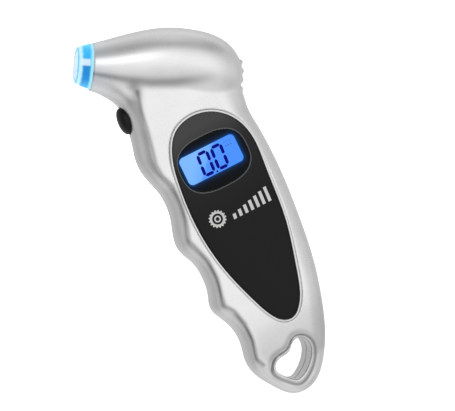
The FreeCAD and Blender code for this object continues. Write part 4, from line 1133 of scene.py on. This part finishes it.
# ---- printed marks ----
PRINT_BACK = 0.02
PRINT_FRONT = -0.04
INK_BACK = GLASS_Y + 0.055
INK_THICK = 0.03
DIGIT_TOP = 49.6
DIGIT_BOTTOM = 57.9
DIGIT_WIDTH = 3.8
DIGIT_STARTS = [24.0, 29.8]
DIGIT_SLANT = 0.07
STROKE = 1.2
SEGMENT_GAP = 0.16
POINT_START = (58.0, 28.8)
POINT_END = (58.7, 28.8)
POINT_WIDTH = 0.7
BLUNT = 0.1               # how far the ends of the point and the marks are drawn out
MARK_STARTS = [35.6, 36.6, 37.6]
MARK_ROWS = [(51.3, 0.5), (49.7, 0.35)]   # where each row of faint marks lies, and its width
MARK_LENGTH = 0.7
MARK_THICK = 0.02
ICON_S = 74.2
ICON_T = 20.8
TREAD_COUNT = 16
ICON_RINGS = [(2.05, 2.9, 0.45), (0.75, 1.25, 0.0)]   # inner and outer radius, height of the tread
PRINT_BARS = 7
PRINT_BAR_FIRST = 5.6     # from the ring's centre to the first bar, then from bar to bar
PRINT_BAR_PITCH = 2.45
PRINT_BAR_WIDTH = 1.25
PRINT_BAR_SLANT = 0.25
PRINT_BAR_HEIGHT = 2.0    # of the first bar, and how much taller each next one is
PRINT_BAR_GROWTH = 0.62


def bar(s0, t0, s1, t1, width, thick, point=0.5):
    """Flat segment with pointed ends on the display, from one grip point to another."""
    a = np.array([s0, t0])
    b = np.array([s1, t1])
    along = (b - a) / np.linalg.norm(b - a)
    side = np.array([-along[1], along[0]]) * width / 2
    tip = along * width * point
    corners = [a, a + tip + side, b - tip + side, b, b - tip - side, a + tip - side]
    loop = np.array([xz_of(*corner) for corner in corners])
    return sweep([at_depth(loop, INK_BACK), at_depth(loop, INK_BACK - thick)], cap_last=True)


def digit_zero(t_left):
    """Six lit segments of a nought."""
    middle = (DIGIT_TOP + DIGIT_BOTTOM) / 2
    parts = []

    def at(s, t):
        return s, t + (DIGIT_BOTTOM - s) * DIGIT_SLANT

    for s in (DIGIT_TOP, DIGIT_BOTTOM):
        ends = at(s, t_left + SEGMENT_GAP) + at(s, t_left + DIGIT_WIDTH - SEGMENT_GAP)
        parts.append(bar(*ends, STROKE, INK_THICK))
    for t in (t_left, t_left + DIGIT_WIDTH):
        for s0, s1 in ((DIGIT_TOP, middle), (middle, DIGIT_BOTTOM)):
            ends = at(s0 + SEGMENT_GAP, t) + at(s1 - SEGMENT_GAP, t)
            parts.append(bar(*ends, STROKE, INK_THICK))
    return parts


def add_digits():
    """Reading of nought point nought, and faint marks where the unit is shown."""
    parts = []
    for t_left in DIGIT_STARTS:
        parts += digit_zero(t_left)
    parts.append(bar(*POINT_START, *POINT_END, POINT_WIDTH, INK_THICK, BLUNT))
    add_piece("display_digits", *join_meshes(parts), "segment_ink", "housing",
              slot="display_glass", crisp=30)
    faint = []
    for t in MARK_STARTS:
        for s, width in MARK_ROWS:
            faint.append(bar(s, t, s, t + MARK_LENGTH, width, MARK_THICK, BLUNT))
    add_piece("display_marks", *join_meshes(faint), "faint_ink", "housing",
              slot="display_glass", crisp=30)


def printed(outline):
    """Flat print that follows the panel's crown."""
    loop = np.array([xz_of(*point) for point in outline])
    return sweep([on_panel(loop, PRINT_BACK), on_panel(loop, PRINT_FRONT)], cap_last=True)


def icon_ring(inner, outer, tread):
    """Printed ring; a tread makes its outside toothed."""
    k = np.arange(6 * TREAD_COUNT)
    turns = 2 * math.pi * k / len(k)
    loops = []
    for reach in (inner, outer + np.where(np.isin(k % 6, (1, 2, 3)), tread, 0.0)):
        loops.append(np.stack(xz_of(ICON_S + reach * np.sin(turns), ICON_T + reach * np.cos(turns)), 1))
    low, high = loops
    return sweep([
        on_panel(low, PRINT_BACK), on_panel(low, PRINT_FRONT),
        on_panel(high, PRINT_FRONT), on_panel(high, PRINT_BACK),
    ])


def add_icon():
    """Generic print: a toothed tyre beside a rising row of pressure bars."""
    parts = [icon_ring(*ring) for ring in ICON_RINGS]
    low = ICON_S + ICON_RINGS[0][1]
    for k in range(PRINT_BARS):
        high = low - PRINT_BAR_HEIGHT - PRINT_BAR_GROWTH * k
        t0 = ICON_T + PRINT_BAR_FIRST + PRINT_BAR_PITCH * k
        t1 = t0 + PRINT_BAR_WIDTH
        top = [(high, t1 + PRINT_BAR_SLANT), (high, t0 + PRINT_BAR_SLANT)]
        parts.append(printed([(low, t0), (low, t1)] + top))
    add_piece("panel_print", *join_meshes(parts), "silver_ink", "housing", slot="black_fascia", crisp=30)


add_panel()
add_bezel()
add_window()
add_display()
add_digits()
add_icon()


# ---- nose and button ----
def rounded_profile(points, radius, count=4):
    """Profile with its corners rounded off by quadratic curves."""
    result = [points[0]]
    for before, corner, after in zip(points, points[1:], points[2:]):
        middle = Vector(corner)
        a = Vector(before) - middle
        b = Vector(after) - middle
        reach = min(radius, a.length / 2.1, b.length / 2.1)
        start = middle + a.normalized() * reach
        end = middle + b.normalized() * reach
        for k in range(count + 1):
            u = k / count
            result.append(tuple(start * (1 - u) ** 2 + middle * 2 * u * (1 - u) + end * u ** 2))
    result.append(points[-1])
    return result


def add_nose():
    """Clear cone with a rolled mouth and an inner step."""
    profile = rounded_profile([
        (9.4, 5.0), (1.1, 5.0), (0.7, 5.7), (0.0, 5.9), (0.0, 6.5), (0.35, 6.95), (2.4, 7.72),
        (5.35, 8.66), (5.58, 8.5), (5.58, 7.15), (9.4, 7.15), (9.4, 5.0),
    ], 0.25)
    vertices, faces = lathe(profile, (0, 0, 0), (1, 0, 0), 128, (False, False))
    add_piece("nose_cone", vertices, faces, "clear_nose", "housing", "nozzle_lens", "clear_nose", crisp=60)


def add_button():
    """Soft domed button with a step round its foot."""
    turns = np.linspace(0.12, 1.5, 14)
    dome = [(BUTTON_STEP + BUTTON_RISE * math.sin(turn), BUTTON_R * math.cos(turn)) for turn in turns]
    foot = [(-6.0, 0.05), (-6.0, 1.6), (-3.8, 1.6), (-3.8, BUTTON_R), (0.4, BUTTON_R)]
    profile = rounded_profile(foot, 0.15) + dome
    out = (-math.cos(BUTTON_TILT), 0, -math.sin(BUTTON_TILT))
    origin = (BUTTON_CENTRE[0], 0, BUTTON_CENTRE[1])
    vertices, faces = lathe(profile, origin, out, 96)
    add_piece("button_cap", vertices, faces, "black_rubber", "power_button", "power_button",
              "black_rubber", crisp=60)


add_nose()
add_button()


# ---- floor and light ----
FLOOR_DROP = 0.0008       # metres below the object
FLOOR_PROFILE = [(0.0, 0.01), (0.0, 0.6), (0.0, 2.6), (-0.01, 2.62)]
BACKDROP_R = 6.0
KEY_PLACE = Vector((-0.5, -1.3, 0.55))
KEY_AIM = Vector((0.05, 0.0, -0.05))
KEY_SIZE = 0.7
KEY_POWER = 1.5
# Brightness by degrees above the horizon, and by degrees round from the front (left is negative)
STUDIO_HEIGHTS = [
    (-90, 0.88), (-66, 0.86), (-50, 0.86), (-28, 0.93), (-12, 1.12), (0, 1.24), (18, 1.22),
    (34, 1.08), (46, 0.82), (56, 0.46), (66, 0.40), (75, 0.62), (83, 0.86), (90, 0.90),
]
STUDIO_COMPASS = [
    (-180, 0.75), (-155, 0.62), (-136, 0.44), (-112, 0.58), (-88, 0.53), (-62, 0.34), (-34, 0.26),
    (-22, 0.80), (-12, 1.0), (18, 1.0), (40, 0.78), (65, 0.63), (95, 0.60), (125, 0.62), (150, 0.70),
]


def add_stage(name, mesh, look):
    """Stage piece, left out of reflections, shadows and bounced light."""
    mesh.materials.append(look)
    thing = bpy.data.objects.new(name, mesh)
    bpy.context.scene.collection.objects.link(thing)
    thing.visible_glossy = False
    thing.visible_diffuse = False
    thing.visible_transmission = False
    thing.visible_shadow = False
    thing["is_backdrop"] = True


def add_floor():
    """Pale floor just under the object."""
    origin = (0.05, 0.0, CAD_BOX[0][2] - FLOOR_DROP)
    vertices, faces = lathe(FLOOR_PROFILE, origin, (0, 0, 1), 96, (True, False))
    mesh = bpy.data.meshes.new("floor")
    mesh.from_pydata(vertices.tolist(), [], faces)
    look = grained("floor", (0.86, 0.86, 0.86), 0.6, 2.0, 0.02, spread=0.02, patch=200.0,
                   **{"Emission Color": (1, 1, 1, 1), "Emission Strength": 0.72})
    add_stage("floor", mesh, look)


def add_backdrop():
    """White dome that only the camera sees."""
    dome = bmesh.new()
    bmesh.ops.create_icosphere(dome, subdivisions=4, radius=BACKDROP_R)
    mesh = bpy.data.meshes.new("backdrop")
    dome.to_mesh(mesh)
    dome.free()
    look = grained("backdrop", (0.9, 0.9, 0.9), 0.8, 40.0, 0.02, spread=0.01, patch=400.0,
                   **{"Emission Color": (1, 1, 1, 1), "Emission Strength": 1.1})
    add_stage("backdrop", mesh, look)


def add_key_light():
    """Soft square light in front, hidden from the camera."""
    data = bpy.data.lights.new("key", "AREA")
    data.size = KEY_SIZE
    data.energy = KEY_POWER
    light = bpy.data.objects.new("key", data)
    bpy.context.scene.collection.objects.link(light)
    light.location = KEY_PLACE
    light.rotation_euler = (KEY_AIM - KEY_PLACE).to_track_quat("-Z", "Y").to_euler()
    light.visible_camera = False


def grey_stops(levels, position_of):
    """Ramp stops of greys, from pairs of an angle and a brightness."""
    return [(position_of(angle), (level, level, level)) for angle, level in levels]


def add_world():
    """White studio: its brightness by height, times its brightness round the compass."""
    world = bpy.data.worlds.new("studio")
    bpy.context.scene.world = world
    world.use_nodes = True
    tree = world.node_tree
    coords = tree.nodes.new("ShaderNodeTexCoord")
    axes = tree.nodes.new("ShaderNodeSeparateXYZ")
    tree.links.new(coords.outputs["Generated"], axes.inputs["Vector"])
    x, y, z = axes.outputs
    heights = grey_stops(STUDIO_HEIGHTS, lambda angle: 0.5 + math.sin(math.radians(angle)) / 2)
    bands = ramp(tree, remap(tree, z, -1.0, 1.0), heights)
    bands = mixed_colour(tree, remap(tree, y, 0.0, 0.35), bands, (1.0, 1.0, 1.0, 1.0))
    ahead = math_node(tree, "MULTIPLY", y, -1.0)
    turn = remap(tree, math_node(tree, "ARCTAN2", x, ahead), -math.pi, math.pi)
    compass = ramp(tree, turn, grey_stops(STUDIO_COMPASS, lambda angle: 0.5 + angle / 360))
    level = remap(tree, math_node(tree, "ABSOLUTE", z), 0.62, 0.92, 1.0, 0.25)
    studio = mixed_colour(tree, level, bands, compass, "MULTIPLY")
    tree.links.new(studio, tree.nodes["Background"].inputs["Color"])


add_floor()
add_backdrop()
add_world()
add_key_light()
bpy.context.scene.view_settings.view_transform = "Standard"

boxes = {"cad": CAD_BOX, "visual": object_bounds()}
{name: [list(map(float, corner)) for corner in box] for name, box in boxes.items()}
